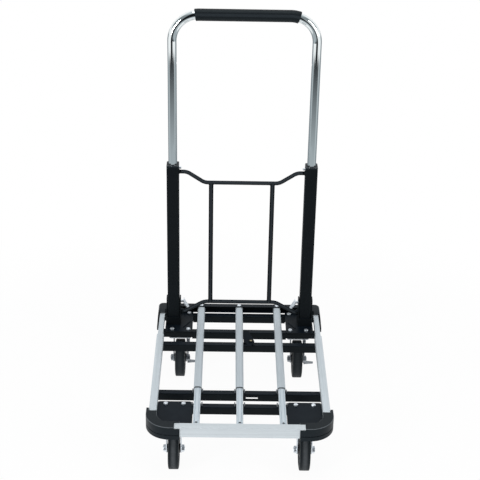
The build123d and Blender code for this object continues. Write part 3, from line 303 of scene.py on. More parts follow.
def make_floor():
    """A round sheet of paper just under the wheels."""
    angles = [2 * math.pi * step / FLOOR_SIDES for step in range(FLOOR_SIDES)]
    points = [(FLOOR_REACH * math.cos(angle), FLOOR_REACH * math.sin(angle), -FLOOR_DROP) for angle in angles]
    mesh = bpy.data.meshes.new("floor")
    mesh.from_pydata(points, [], [list(range(FLOOR_SIDES))])
    mesh.materials.append(paper_material())
    sheet = bpy.data.objects.new("floor", mesh)
    scene.collection.objects.link(sheet)
    return sheet


floor = make_floor()
print("floor", round(floor.dimensions.x, 2))

# %% Lamps
# For each lamp: its place, the point that it shines at, its width and height, and its watts.
LAMPS = {
    "key_box": ((-2.2, -2.3, 1.3), (0.0, 0.0, 0.35), (0.4, 1.6), 52.0),
    "side_box": ((2.2, -1.4, 1.5), (0.0, 0.0, 0.45), (0.4, 1.8), 21.0),
    "top_box": ((0.0, 0.3, 3.2), (0.0, 0.0, 0.2), (1.6, 1.6), 18.0),
}


def make_lamp(name, place, target, size, watts):
    """A soft box that is turned to its target."""
    data = bpy.data.lights.new(name, "AREA")
    data.shape = "RECTANGLE"
    data.size, data.size_y = size
    data.energy = watts
    lamp = bpy.data.objects.new(name, data)
    aim = Vector(target) - Vector(place)
    lamp.matrix_world = Matrix.Translation(place) @ aim.to_track_quat("-Z", "Y").to_matrix().to_4x4()
    scene.collection.objects.link(lamp)


for lamp_name, lamp_setup in LAMPS.items():
    make_lamp(lamp_name, *lamp_setup)
print("lamps", list(LAMPS))

# %% [markdown]
# ## Finishes
# Each finish starts from one Principled shader. What stays the same all over is set on its sockets, and
# only colour, roughness and bump follow noise in the piece's own coordinates. Sizes are per metre: a
# scale of 900 makes spots of about a millimetre. Edges that Bevel rounds carry an attribute called worn,
# which lets a coat rub thin there. Dust, painted highlights and painted shade also follow which way a face
# looks. Texture Coordinate's Normal is the piece's own, so they stay where they are when the handle folds.

# %% Finish helpers
class Finish(Net):
    """A Principled material with noise in object coordinates."""

    def __init__(self, name, **fixed):
        self.material = bpy.data.materials.new(name)
        self.material.use_nodes = True
        self.material.node_tree.nodes.clear()
        super().__init__(self.material.node_tree)
        self.place = self.node("ShaderNodeTexCoord", output="Object")
        self.shader = self.tree.nodes.new("ShaderNodeBsdfPrincipled")
        for socket, value in fixed.items():
            self.shader.inputs[socket.replace("_", " ")].default_value = value
        self.node("ShaderNodeOutputMaterial", inputs={"Surface": Value(self, self.shader.outputs[0])})

    def noise(self, scale, detail=2.0, stretch=(1.0, 1.0, 1.0), shift=0.0):
        """Noise of so many spots to the metre, drawn out along an axis whose stretch is small."""
        place = self.node("ShaderNodeMapping", inputs={
            "Vector": self.place, "Location": (shift, shift, shift), "Scale": stretch})
        return self.node("ShaderNodeTexNoise", inputs={"Vector": place, "Scale": scale, "Detail": detail})

    def distance(self, middle, kept):
        """How far a point lies from a middle, counting only the kept axes."""
        offset = self.node("ShaderNodeVectorMath", {"operation": "SUBTRACT"}, {0: self.place, 1: middle})
        flat = self.node("ShaderNodeVectorMath", {"operation": "MULTIPLY"}, {0: offset, 1: kept})
        return self.node("ShaderNodeVectorMath", {"operation": "LENGTH"}, {0: flat}, "Value")

    def worn(self):
        """1 on rounded edges, 0 elsewhere."""
        return self.node("ShaderNodeAttribute", {"attribute_name": "worn"}, output="Fac")

    def along(self, direction):
        """How squarely a face looks along a direction in its piece's own frame, from -1 to 1."""
        normals = self.node("ShaderNodeTexCoord", output="Normal")
        return self.node("ShaderNodeVectorMath", {"operation": "DOT_PRODUCT"},
                         {0: normals, 1: direction}, "Value")

    def upward(self):
        """1 on faces that look up, 0 on walls and undersides."""
        return self.between(self.along(UP), 0.55, 0.95)

    def facing(self, direction):
        """1 on faces that look along a direction, either way."""
        return self.between(self.maths("ABSOLUTE", self.along(direction)), 0.75, 0.95)

    def feed(self, **sockets):
        """Link values to the shader's sockets."""
        for socket, value in sockets.items():
            self.tree.links.new(value.socket, self.shader.inputs[socket.replace("_", " ")])

    def bump(self, height, distance, strength):
        """Let a height of 1 stand out by a distance in metres."""
        self.feed(Normal=self.node("ShaderNodeBump", inputs={
            "Height": height, "Distance": distance, "Strength": strength}))


def grey(level, warm=0.0):
    """A grey that leans to red for a positive warm and to blue for a negative one."""
    return (level * (1.0 + warm), level, level * (1.0 - warm), 1.0)


ACROSS = (1.0, 0.0, 0.0)
LENGTHWISE = (0.0, 1.0, 0.0)
UP = (0.0, 0.0, 1.0)
COOL = (0.74, 0.92, 1.0, 1.0)
print("finish helpers ready")

# %% [markdown]
# ### Anodised aluminium
# Slats, rails and front bar are drawn through a die and etched, so they are pale and satin with very fine
# lines along their length. Noise stretched along the piece gives such lines. The same recipe serves both
# directions, with the stretch turned. The anodised skin is a clear, milky oxide, so the metal shows only
# in part, and its mirror is blurred. The ends of the slats and the flanks of the rails are made darker, as
# painted shade.

# %% Aluminium
# The dark grey of the painted shade on the slats' ends.
END_SHADE_GREY = grey(0.018, -0.05)


def anodised(level, warm):
    """The cool grey of anodised aluminium, with a trace of green."""
    return (level * (0.897 + warm), level, level * (1.072 - warm), 1.0)


def aluminium(name, stretch, level, warm=0.0, end_shade=0.0, flank_shade=0.0):
    """Satin aluminium of a grey level, with so much painted shade on its ends and its flanks."""
    finish = Finish(name, Metallic=0.55, Specular_IOR_Level=0.35)
    lines = finish.noise(scale=420.0, detail=3.0, stretch=stretch)
    cloud = finish.noise(scale=16.0, detail=3.0)
    pale = finish.tint(cloud, anodised(level * 0.94, warm), anodised(level * 1.06, warm))
    drawn = finish.tint(finish.between(lines, 0.35, 0.75) * 0.35, pale, anodised(level * 0.77, warm))
    wear_and_sheen = finish.worn() * finish.between(finish.noise(scale=140.0), 0.3, 0.7) * 0.4
    coat = finish.tint(wear_and_sheen, drawn, anodised(level * 1.2, warm))
    # Painted shade: faces that look sideways are made darker.
    if flank_shade:
        coat = finish.tint(finish.facing(ACROSS) * flank_shade, coat, anodised(level * 0.3, warm))
    # Painted shade: the ends, which look along the length, are made darker.
    if end_shade:
        coat = finish.tint(finish.facing(LENGTHWISE) * end_shade, coat, END_SHADE_GREY)
    finish.feed(Base_Color=coat, Roughness=0.38 + lines * 0.10 + cloud * 0.06)
    finish.bump(lines, distance=0.00004, strength=0.5)
    return finish.material


LONGWAYS = (1.0, 0.006, 1.0)
CROSSWAYS = (0.006, 1.0, 1.0)
rail_aluminium = aluminium("satin_aluminium_rails", LONGWAYS, level=0.68, warm=0.012, flank_shade=0.45)
outer_aluminium = aluminium("satin_aluminium_outer_slats", LONGWAYS, level=0.59, end_shade=0.9)
inner_aluminium = aluminium("satin_aluminium_inner_slats", LONGWAYS, level=0.71, end_shade=0.9)
bar_aluminium = aluminium("satin_aluminium_bar", CROSSWAYS, level=0.69, warm=0.025)
print("made", rail_aluminium.name, outer_aluminium.name, inner_aluminium.name, bar_aluminium.name)

# %% [markdown]
# ### Chrome, zinc and yellow zinc
# Plated steel differs in how sharp its mirror is. Chrome is nearly clean, with faint wiping marks. Zinc is
# bluish and cloudy and has crystals of a few millimetres, for which a pattern of cells stands. It is
# bright on bolts and front forks, and the rear casters get a darker copy as painted shade. Yellow zinc is the
# same coat with a chromate tint that drifts from gold to green, and its rim has gone dark.

# %% Plated metals
CHROME_DARKER = (0.79, 0.84, 0.85, 1.0)
CHROME_LIGHTER = (0.87, 0.92, 0.93, 1.0)
SPOT_RIM = (0.0024, 0.0031)
SPOT_GREY = grey(0.012)


def middle_of(node):
    """The middle of a CAD node's box."""
    low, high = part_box(node)
    return tuple((a + b) / 2 for a, b in zip(low, high))


def chrome(name):
    """A clean mirror with faint wiping marks that run down the tube."""
    finish = Finish(name, Metallic=1.0)
    smear = finish.noise(scale=26.0, detail=4.0, stretch=(1.0, 1.0, 0.18))
    speck = finish.noise(scale=700.0)
    finish.feed(Base_Color=finish.tint(smear, CHROME_DARKER, CHROME_LIGHTER),
                Roughness=0.015 + smear * 0.035 + speck * 0.01)
    finish.bump(speck, distance=0.00001, strength=0.2)
    return finish.material


def plated_zinc(name, dull, bright, metallic=0.8, spot=None):
    """Crystals between a dull and a bright tint, and dark away from an upright axis at a spot, if given."""
    finish = Finish(name, Metallic=metallic, Specular_IOR_Level=0.4)
    crystals = finish.node("ShaderNodeTexVoronoi", {"feature": "F1"},
                           {"Vector": finish.place, "Scale": 260.0}, "Color")
    crystal = finish.node("ShaderNodeSeparateColor", inputs={0: crystals}, output="Red")
    cloud = finish.noise(scale=90.0, detail=3.0)
    coat = finish.tint(crystal * 0.5 + cloud * 0.5, dull, bright)
    if spot:
        rim = finish.between(finish.distance(spot, kept=(1.0, 1.0, 0.0)), *SPOT_RIM)
        coat = finish.tint(rim, coat, SPOT_GREY)
    finish.feed(Base_Color=coat, Roughness=0.24 + crystal * 0.10 + cloud * 0.12)
    finish.bump(finish.noise(scale=1400.0), distance=0.00003, strength=0.35)
    return finish.material


chrome_tube = chrome("chrome_tube")
zinc_steel = plated_zinc("zinc_steel", grey(0.68, -0.09), grey(0.95, -0.05))
# A darker copy of the zinc for the rear casters, as painted shade.
aged_zinc = plated_zinc("aged_zinc", grey(0.16, -0.10), grey(0.42, -0.08))
dull_zinc = plated_zinc("dull_zinc", grey(0.10, -0.10), grey(0.22, -0.08), metallic=0.6)
yellow_zinc = plated_zinc("yellow_zinc", (0.30, 0.27, 0.15, 1.0), (0.56, 0.52, 0.34, 1.0),
                          spot=middle_of("latch_rivet"))
print("made", chrome_tube.name, zinc_steel.name, aged_zinc.name, dull_zinc.name, yellow_zinc.name)

# %% [markdown]
# ### Black paint
# Uprights, wire, channels, plates and brackets are steel under black powder coat. Powder flows out into a
# fine orange peel, takes a thin haze of dust where it faces up, and thins to a dull grey on worn edges. Faces
# that look up are also painted a bluer black, a painted sheen. The wire frame carries a painted highlight, a
# paler line on the faces that look to the front and up.

# %% Black paint
# A bluer black for faces that look up: a painted sheen.
PAINT_TOP_SHEEN = (0.0042, 0.0070, 0.0115, 1.0)
PAINT_DUST = grey(0.020, -0.30)
PAINT_WORN = grey(0.030, -0.08)
# The painted highlight on the wire: its pale colour, and which way the faces that carry it look.
PAINT_HIGHLIGHT = grey(0.032, -0.16)
HIGHLIGHT_SIDE = (0.0, -0.90, 0.45)


def black_paint(name, peel, rough, shine=0.11, painted_highlight=0.0):
    """Powder coat with an orange peel of a scale, a roughness, and so much painted highlight on faces that
    look to the front.
    """
    finish = Finish(name, Specular_IOR_Level=shine, Specular_Tint=COOL)
    cloud = finish.noise(scale=22.0, detail=4.0)
    grain = finish.noise(scale=260.0, detail=3.0, shift=3.0)
    specks = finish.between(finish.noise(scale=48.0, detail=5.0, shift=7.0), 0.42, 0.80)
    dust = finish.upward() * specks * 0.3
    base = finish.tint(cloud, grey(0.0048, -0.22), grey(0.0072, -0.20))
    # Faces that look up take the painted sheen colour, with dust over it.
    coat = finish.tint(dust, finish.tint(finish.upward(), base, PAINT_TOP_SHEEN), PAINT_DUST)
    if painted_highlight:
        # Painted highlight: faces that look to the front and up are made paler.
        front = finish.between(finish.along(HIGHLIGHT_SIDE), 0.72, 0.92)
        coat = finish.tint(front * painted_highlight, coat, PAINT_HIGHLIGHT)
    wear_and_sheen = finish.worn() * finish.between(grain, 0.40, 0.62) * 0.4
    finish.feed(Base_Color=finish.tint(wear_and_sheen, coat, PAINT_WORN),
                Roughness=rough + cloud * 0.10 + dust * 0.25)
    finish.bump(finish.noise(scale=peel), distance=0.00005, strength=0.20)
    return finish.material


frame_paint = black_paint("black_paint", peel=820.0, rough=0.36)
wire_paint = black_paint("wire_paint", peel=1100.0, rough=0.30, shine=0.05, painted_highlight=0.9)
latch_paint = black_paint("latch_paint", peel=900.0, rough=0.46, shine=0.04)
print("made", frame_paint.name, wire_paint.name, latch_paint.name)

# %% [markdown]
# ### Plastic and rubber
# Bumpers, caps and collars are moulded with a fine spark-eroded grain and have scuffs. Their edges are paler,
# part wear and part painted highlight, and where they round over from the top to the side they carry a
# painted highlight. The grip is a soft sleeve with a slightly silky face and a painted highlight, a pale band
# along the front. Tyres are dull, and the middle of their treads carries pale dust from the floor. The dust
# follows the distance from the axle and from the wheel's middle, so it needs the axle's place for each wheel.

# %% Plastic and rubber
# A pale grey for scuffs, and for the painted highlights on plastic edges.
SCUFF_AND_HIGHLIGHT_GREY = grey(0.16, -0.08)
# The painted highlight on the grip: which way its faces look, and its pale grey.
SHEEN_SIDE = (0.0, -0.967, 0.255)
SHEEN_GREY = grey(0.024, -0.20)
TREAD_GREY = grey(0.085, -0.06)
TREAD_RISE = (-0.006, -0.001)
TRACK_EDGE = (0.0015, 0.0085)


def moulded_plastic(name, low, high, rim=0.0):
    """Grained plastic between two tints, with scuffs, paler edges and so much painted highlight where a top
    rounds over to a side.
    """
    finish = Finish(name, Specular_IOR_Level=0.16, Specular_Tint=COOL)
    grain = finish.noise(scale=1500.0)
    cloud = finish.noise(scale=30.0, detail=4.0)
    marks = finish.noise(scale=120.0, detail=4.0, stretch=(1.0, 1.0, 3.0), shift=5.0)
    scuff = finish.between(marks, 0.58, 0.78)
    # Paler rounded edges, part wear and part painted highlight; the rim adds a painted highlight where a top
    # rounds over.
    wear_and_sheen = finish.worn() * 0.8
    if rim:
        tilt = finish.along(UP)
        rounding = finish.between(tilt, 0.15, 0.45) * (1.0 - finish.between(tilt, 0.85, 0.98))
        wear_and_sheen = finish.maths("MAXIMUM", wear_and_sheen, rounding * rim)
    finish.feed(Base_Color=finish.tint(wear_and_sheen + scuff * 0.04, finish.tint(cloud, low, high), SCUFF_AND_HIGHLIGHT_GREY),
                Roughness=0.36 + grain * 0.12 + scuff * 0.08)
    finish.bump(grain, distance=0.00010, strength=0.45)
    return finish.material


def soft_grip(name):
    """A silky sleeve with fine pores and a painted highlight, a pale band along its front."""
    finish = Finish(name, Specular_IOR_Level=0.19, Specular_Tint=COOL)
    pores = finish.noise(scale=1900.0)
    cloud = finish.noise(scale=34.0, detail=4.0)
    # Painted highlight: a pale band on the faces that look to the front and a little up.
    wear_and_sheen = finish.between(finish.along(SHEEN_SIDE), 0.95, 0.995) * 0.8
    base = finish.tint(cloud, grey(0.0065, -0.24), grey(0.0090, -0.24))
    finish.feed(Base_Color=finish.tint(wear_and_sheen, base, SHEEN_GREY),
                Roughness=0.40 + cloud * 0.10 + pores * 0.06)
    finish.bump(pores, distance=0.00004, strength=0.25)
    return finish.material


def tyre_rubber(name, axle, tread, dusty):
    """Dull rubber with so much dust on the middle of its tread, which lies at a radius round the axle."""
    finish = Finish(name, Specular_IOR_Level=0.20, Specular_Tint=COOL)
    grain = finish.noise(scale=1300.0, detail=3.0)
    cloud = finish.noise(scale=90.0, detail=5.0)
    radius = finish.distance(axle, kept=(0.0, 1.0, 1.0))
    on_tread = finish.between(radius, tread + TREAD_RISE[0], tread + TREAD_RISE[1])
    track = 1.0 - finish.between(finish.distance(axle, kept=(1.0, 0.0, 0.0)), *TRACK_EDGE)
    dust = on_tread * track * (dusty + cloud * dusty) + finish.between(cloud, 0.5, 0.8) * 0.05
    rubber = finish.tint(grain, grey(0.006, -0.18), grey(0.012, -0.18))
    finish.feed(Base_Color=finish.tint(dust, rubber, TREAD_GREY),
                Roughness=0.52 + cloud * 0.14 + dust * 0.15)
    finish.bump(grain, distance=0.00012, strength=0.5)
    return finish.material


black_plastic = moulded_plastic("black_plastic", grey(0.0085, -0.26), grey(0.0130, -0.26), rim=0.75)
hub_plastic = moulded_plastic("hub_plastic", grey(0.014), grey(0.024))
grip_rubber = soft_grip("grip_rubber")
print("made", black_plastic.name, hub_plastic.name, grip_rubber.name)

# %% [markdown]
# ## Softened sheet metal and mouldings
# Pressed plates, brackets, tubes and mouldings have the right shape in CAD but knife-sharp edges, and real
# edges catch light. A copy of each is merged, its flat triangles are joined back into whole faces, and
# Bevel rounds the edges. The faces that Bevel makes are marked as worn. Modelling them again by hand
# would gain nothing, since the solid already is the real shape.

# %% Softening helper
CAD_MERGE = 2e-6
FLAT_ANGLE = math.radians(0.4)
SHADING_WEIGHT = 80
behaviour = frame["record"]["behaviour"]
body_of = {node: body for body, members in behaviour["bodies"].items() for node in members}


def settle(piece, *nodes):
    """Let a finished piece ride with the body of the nodes that it stands for, and hide those nodes."""
    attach(piece, body_of[nodes[0]])
    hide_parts(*nodes)
    return piece


def baked(piece):
    """Turn a piece's modifiers into plain mesh."""
    depsgraph = bpy.context.evaluated_depsgraph_get()
    mesh = bpy.data.meshes.new_from_object(piece.evaluated_get(depsgraph))
    piece.modifiers.clear()
    piece.data = mesh
    return mesh


def evened(piece):
    """Let large faces lead the shading, so that flat sides and straight runs look flat and straight."""
    shading = piece.modifiers.new("shading", "WEIGHTED_NORMAL")
    shading.weight = SHADING_WEIGHT
    return baked(piece)


def painted(mesh, material, slots=1):
    """Give a mesh so many slots of one material, and all its faces the first."""
    mesh.materials.clear()
    for _ in range(slots):
        mesh.materials.append(material)
    mesh.polygons.foreach_set("material_index", [0] * len(mesh.polygons))


def soften(piece, edge, sharp=33.0, steps=2):
    """Round a piece's edges, mark the new faces as worn and shade it smooth."""
    material = piece.data.materials[0]
    painted(piece.data, material, slots=2)
    piece.data.shade_smooth()
    bevel = piece.modifiers.new("edge", "BEVEL")
    bevel.width = edge
    bevel.segments = steps
    bevel.limit_method = "ANGLE"
    bevel.angle_limit = math.radians(sharp)
    bevel.miter_outer = "MITER_ARC"
    bevel.material = 1
    mesh = evened(piece)
    worn = mesh.attributes.new("worn", "FLOAT", "FACE")
    marks = [float(face.material_index == 1) for face in mesh.polygons]
    worn.data.foreach_set("value", marks)
    painted(mesh, material)


def shaped(name, shape, material):
    """Put a bmesh into the scene as a piece in one material."""
    mesh = bpy.data.meshes.new(name)
    shape.to_mesh(mesh)
    shape.free()
    mesh.materials.append(material)
    piece = bpy.data.objects.new(name, mesh)
    scene.collection.objects.link(piece)
    return piece


def softened(node, material, edge):
    """A copy of a CAD node with rounded edges and a finish."""
    shape = bmesh.new()
    shape.from_mesh(frame["nodes"][node].data)
    bmesh.ops.remove_doubles(shape, verts=shape.verts, dist=CAD_MERGE)
    bmesh.ops.dissolve_limit(shape, angle_limit=FLAT_ANGLE, verts=shape.verts, edges=shape.edges)
    piece = shaped(node + "_soft", shape, material)
    soften(piece, edge)
    return settle(piece, node)


# %% Steel, plastic and aluminium that keep their CAD shape
SHEET_EDGE = 0.0005
FINE_EDGE = 0.0003
MOULDED_EDGE = 0.0009
SOFT_PIECES = (
    (frame_paint, SHEET_EDGE, (
        "rear_beam", "rear_channel_back", "rear_channel_front", "latch_channel", "front_channel",
        "slotted_channel", "rear_plates", "front_plates", "hinge_bracket_left", "hinge_bracket_right",
        "upright_left", "upright_right", "pivot_bolts", "barrel_nuts")),
    (black_plastic, MOULDED_EDGE, (
        "front_bumper_left", "front_bumper_right", "rear_cap_left", "rear_cap_right", "upright_collars",
        "leg_glides")),
    (rail_aluminium, FINE_EDGE, (
        "outer_rail_left", "outer_rail_right", "inner_rail_left", "inner_rail_right")),
    (bar_aluminium, SHEET_EDGE, ("front_bar",)),
    (zinc_steel, FINE_EDGE, (
        "front_caster_plates", "fork_front_left", "fork_front_right", "lock_plunger_left",
        "lock_plunger_right", "push_button_left", "push_button_right")),
    (aged_zinc, FINE_EDGE, (
        "rear_caster_plates", "fork_rear_left", "fork_rear_right", "brake_lever_rear_left",
        "brake_lever_rear_right")),
    (dull_zinc, FINE_EDGE, ("slat_guides",)),
    (yellow_zinc, FINE_EDGE, ("latch_rivet",)),
    (latch_paint, SHEET_EDGE, ("extension_latch",)),
)
for material, edge, nodes in SOFT_PIECES:
    for node in nodes:
        softened(node, material, edge)
print("softened", sum(len(nodes) for _, _, nodes in SOFT_PIECES))

# %% [markdown]
# ## Geometry trees
# What repeats or follows a path is grown by Geometry Nodes: a tree says once how a tube, a slat or a bolt
# is made, and its named inputs give the sizes. The tree works on a small host mesh of points or lines and
# ends in plain, painted mesh, so nothing is left that another program could not read.

# %% Tree helpers
SHARP_ANGLE = math.radians(35.0)


class Tree(Net):
    """A geometry tree with named inputs that ends in plain, painted mesh."""

    def __init__(self, name, **inputs):
        super().__init__(bpy.data.node_groups.new(name, "GeometryNodeTree"))
        interface = self.tree.interface
        interface.new_socket("Geometry", in_out="INPUT", socket_type="NodeSocketGeometry")
        for label, kind in inputs.items():
            interface.new_socket(label, in_out="INPUT", socket_type="NodeSocket" + kind)
        interface.new_socket("Geometry", in_out="OUTPUT", socket_type="NodeSocketGeometry")
        start = self.tree.nodes.new("NodeGroupInput")
        self.given = {socket.name: Value(self, socket) for socket in start.outputs if socket.name}

    def vector(self, x=0.0, y=0.0, z=0.0):
        """A vector from values or plain numbers."""
        return self.node("ShaderNodeCombineXYZ", inputs={"X": x, "Y": y, "Z": z})

    def moved(self, mesh, **offsets):
        """Geometry moved along some axes."""
        return self.node("GeometryNodeTransform", inputs={
            "Geometry": mesh, "Translation": self.vector(**offsets)})

    def close(self, mesh):
        """End the tree in plain mesh of one material."""
        plain = self.node("GeometryNodeRealizeInstances", inputs={0: mesh})
        smooth = self.node("GeometryNodeSetShadeSmooth", inputs={"Geometry": plain})
        finished = self.node("GeometryNodeSetMaterial", inputs={
            "Geometry": smooth, "Material": self.given["Material"]})
        self.node("NodeGroupOutput", inputs={0: finished})
        return self


def grown(name, tree, points, edges=(), bends=None, **sizes):
    """A piece that a tree grows from points and lines, as plain mesh with sharp corners kept sharp."""
    mesh = bpy.data.meshes.new(name)
    mesh.from_pydata(points, edges, [])
    if bends:
        mesh.attributes.new("bend", "FLOAT", "POINT").data.foreach_set("value", bends)
    piece = bpy.data.objects.new(name, mesh)
    scene.collection.objects.link(piece)
    modifier = piece.modifiers.new("tree", "NODES")
    modifier.node_group = tree.tree
    for item in tree.tree.interface.items_tree:
        if item.name in sizes:
            modifier[item.identifier] = sizes[item.name]
    mesh = baked(piece)
    mesh.set_sharp_from_angle(angle=SHARP_ANGLE)
    painted(mesh, sizes["Material"])
    return piece


def chain(points, closed=False):
    """The edges that join points in a row."""
    edges = [(index, index + 1) for index in range(len(points) - 1)]
    return edges + [(len(points) - 1, 0)] if closed else edges


print("tree helpers ready")

# %% [markdown]
# ## Bent tube and wire
# The handle is one chromed tube with two round bends, and the back frame is bent wire. On a bench both are
# straight stock that is pulled round a former. Here a line of corner points is filleted, each by its own
# radius, and a circle is swept along it. The CAD tubes have flat facets that a mirror finish would show, so
# these are swept with many more sides.

# %% Swept tube tree
BEND_STEPS = 25
# More than any route has, so that a sweep up to this length isn't cut.
WHOLE_LENGTH = 9.0


def swept_tree():
    """A tube along a line whose corners are rounded by their bend attribute, from one length to another."""
    tree = Tree("swept_tube", Radius="Float", Sides="Int", Start="Float", End="Float", Capped="Bool",
                Material="Material")
    given = tree.given
    route = tree.node("GeometryNodeMeshToCurve", inputs={0: given["Geometry"]})
    bend = tree.node("GeometryNodeInputNamedAttribute", {"data_type": "FLOAT"}, {"Name": "bend"})
    bent = tree.node("GeometryNodeFilletCurve", {"mode": "POLY"}, {
        "Curve": route, "Count": BEND_STEPS, "Radius": bend, "Limit Radius": True})
    cut = tree.node("GeometryNodeTrimCurve", {"mode": "LENGTH"}, {
        0: bent, 4: given["Start"], 5: given["End"]})
    circle = tree.node("GeometryNodeCurvePrimitiveCircle", inputs={
        "Resolution": given["Sides"], "Radius": given["Radius"]})
    tube = tree.node("GeometryNodeCurveToMesh", inputs={
        "Curve": cut, "Profile Curve": circle, "Fill Caps": given["Capped"]})
    return tree.close(tube)


swept_tube = swept_tree()
print("made", swept_tube.tree.name, len(swept_tube.tree.nodes))

# %% Wall and cut helpers
MERGE_DISTANCE = 0.00001
PIN_SIDES = 32


def pointed_outward(piece):
    """Merge doubles and turn every face outward."""
    shape = bmesh.new()
    shape.from_mesh(piece.data)
    bmesh.ops.remove_doubles(shape, verts=shape.verts, dist=MERGE_DISTANCE)
    bmesh.ops.recalc_face_normals(shape, faces=shape.faces)
    shape.to_mesh(piece.data)
    shape.free()


def walled(piece, wall):
    """Give an open skin its wall, on the inside."""
    pointed_outward(piece)
    solid = piece.modifiers.new("wall", "SOLIDIFY")
    solid.thickness = wall
    solid.offset = -1.0
    solid.use_even_offset = True
    baked(piece)


def cutter(shape):
    """A bmesh as a scratch object to cut with."""
    mesh = bpy.data.meshes.new("cutter")
    shape.to_mesh(mesh)
    shape.free()
    made = bpy.data.objects.new("cutter", mesh)
    scene.collection.objects.link(made)
    return made


def pin_cutter(place, turn, radius, length):
    """A round pin to cut a hole with."""
    shape = bmesh.new()
    matrix = Matrix.Translation(place) @ turn.to_4x4()
    bmesh.ops.create_cone(shape, cap_ends=True, segments=PIN_SIDES, radius1=radius, radius2=radius,
                          depth=length, matrix=matrix)
    return cutter(shape)


def block_cutter(low, high):
    """A box to cut a window with."""
    shape = bmesh.new()
    middle = (Vector(low) + Vector(high)) / 2
    size = Matrix.Diagonal((*(Vector(high) - Vector(low)), 1.0))
    bmesh.ops.create_cube(shape, size=1.0, matrix=Matrix.Translation(middle) @ size)
    return cutter(shape)


def cut_by(piece, cutters):
    """Take cutters out of a piece, and the cutters out of the scene."""
    for tool in cutters:
        boolean = piece.modifiers.new("cut", "BOOLEAN")
        boolean.solver = "EXACT"
        boolean.object = tool
    baked(piece).set_sharp_from_angle(angle=SHARP_ANGLE)
    for tool in cutters:
        bpy.data.objects.remove(tool)


UPRIGHT = Matrix.Identity(3)
SIDEWAYS = Matrix.Rotation(math.pi / 2, 3, "Y")
print("wall and cut helpers ready")

# %% [markdown]
# ### Handle tube
# The chromed tube slides in the uprights on two plastic glides. Each leg has two round holes on its inner
# side, which the push buttons snap into. The tube is swept open, gets its wall, and the holes are cut.

# %% Handle tube
TUBE_WALL = 0.0015
HANDLE_BENDS = (0.0, 0.065, 0.065, 0.0)
BUTTON_HOLE_RADIUS = 0.0035
HANDLE_SIDES = 64
low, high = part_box("handle_tube")
tube_radius = (high[1] - low[1]) / 2
handle_y = middle_of("handle_tube")[1]
leg_x = high[0] - tube_radius
handle_top = high[2] - tube_radius
handle_route = [(-leg_x, handle_y, low[2]), (-leg_x, handle_y, handle_top),
                (leg_x, handle_y, handle_top), (leg_x, handle_y, low[2])]
button_z = middle_of("push_button_right")[2]
joint_of = {joint["name"]: joint for joint in behaviour["joints"]}
handle_travel = joint_of["handle_slide"]["range_m"][1]

handle = grown("handle_tube_smooth", swept_tube, handle_route, chain(handle_route), HANDLE_BENDS,
               Radius=tube_radius, Sides=HANDLE_SIDES, Start=0.0, End=WHOLE_LENGTH, Capped=False,
               Material=chrome_tube)
walled(handle, TUBE_WALL)
holes = [pin_cutter((side * (leg_x - tube_radius), handle_y, z), SIDEWAYS, BUTTON_HOLE_RADIUS, tube_radius)
         for side in (-1, 1) for z in (button_z, button_z + handle_travel)]
cut_by(handle, holes)
evened(handle)
settle(handle, "handle_tube")
print("handle", len(handle.data.polygons), "faces, hole at", round(button_z, 4))

# %% [markdown]
# ### Grip
# The grip is a soft black sleeve that was pushed over the tube and ends on the bends. It follows the same
# route as the tube, cut to the length between its two ends, with round lips.

# %% Grip
GRIP_RADIUS = 0.01457
GRIP_WALL = 0.0034
GRIP_START = 0.5006
GRIP_END = 0.7495
GRIP_LIP = 0.0012
grip = grown("handle_grip_smooth", swept_tube, handle_route, chain(handle_route), HANDLE_BENDS,
             Radius=GRIP_RADIUS, Sides=HANDLE_SIDES, Start=GRIP_START, End=GRIP_END, Capped=False,
             Material=grip_rubber)
walled(grip, GRIP_WALL)
soften(grip, GRIP_LIP, steps=3)
settle(grip, "handle_grip")

# %% [markdown]
# ### Back frame
# Two bent rods and two straight posts stiffen the fold-down frame. The top rod is welded to the uprights
# and dips in the middle, the lower rod hooks into the barrel nuts, and the posts stand between them.

# %% Back frame
WIRE_SIDES = 24
TOP_STUB = 0.0200
TOP_SLOPE = 0.0445
TOP_BENDS = (0.0, 0.030, 0.030)
LOWER_STUB = 0.0079
LOWER_SLOPE = 0.0510
LOWER_BENDS = (0.0, 0.013, 0.036)


def wire_route(node, stub, slope, middle_is_low):
    """The corner points of a back rod: level stubs at its ends, slopes and a level middle."""
    low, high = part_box(node)
    radius = (high[1] - low[1]) / 2
    y = middle_of(node)[1]
    end_z, middle_z = high[2] - radius, low[2] + radius
    if not middle_is_low:
        end_z, middle_z = middle_z, end_z
    reach = high[0]
    right = [(reach - stub - slope, y, middle_z), (reach - stub, y, end_z), (reach, y, end_z)]
    left = [(-x, y, z) for x, y, z in reversed(right)]
    return left + right, radius


top_route, wire_radius = wire_route("back_top_rod", TOP_STUB, TOP_SLOPE, True)
lower_route, wire_radius = wire_route("back_lower_rod", LOWER_STUB, LOWER_SLOPE, False)
RODS = (("back_top_rod", top_route, TOP_BENDS), ("back_lower_rod", lower_route, LOWER_BENDS))
for node, route, bends in RODS:
    rod = grown(node + "_smooth", swept_tube, route, chain(route), bends + bends[::-1], Radius=wire_radius,
                Sides=WIRE_SIDES, Start=0.0, End=WHOLE_LENGTH, Capped=True, Material=wire_paint)
    evened(rod)
    settle(rod, node)

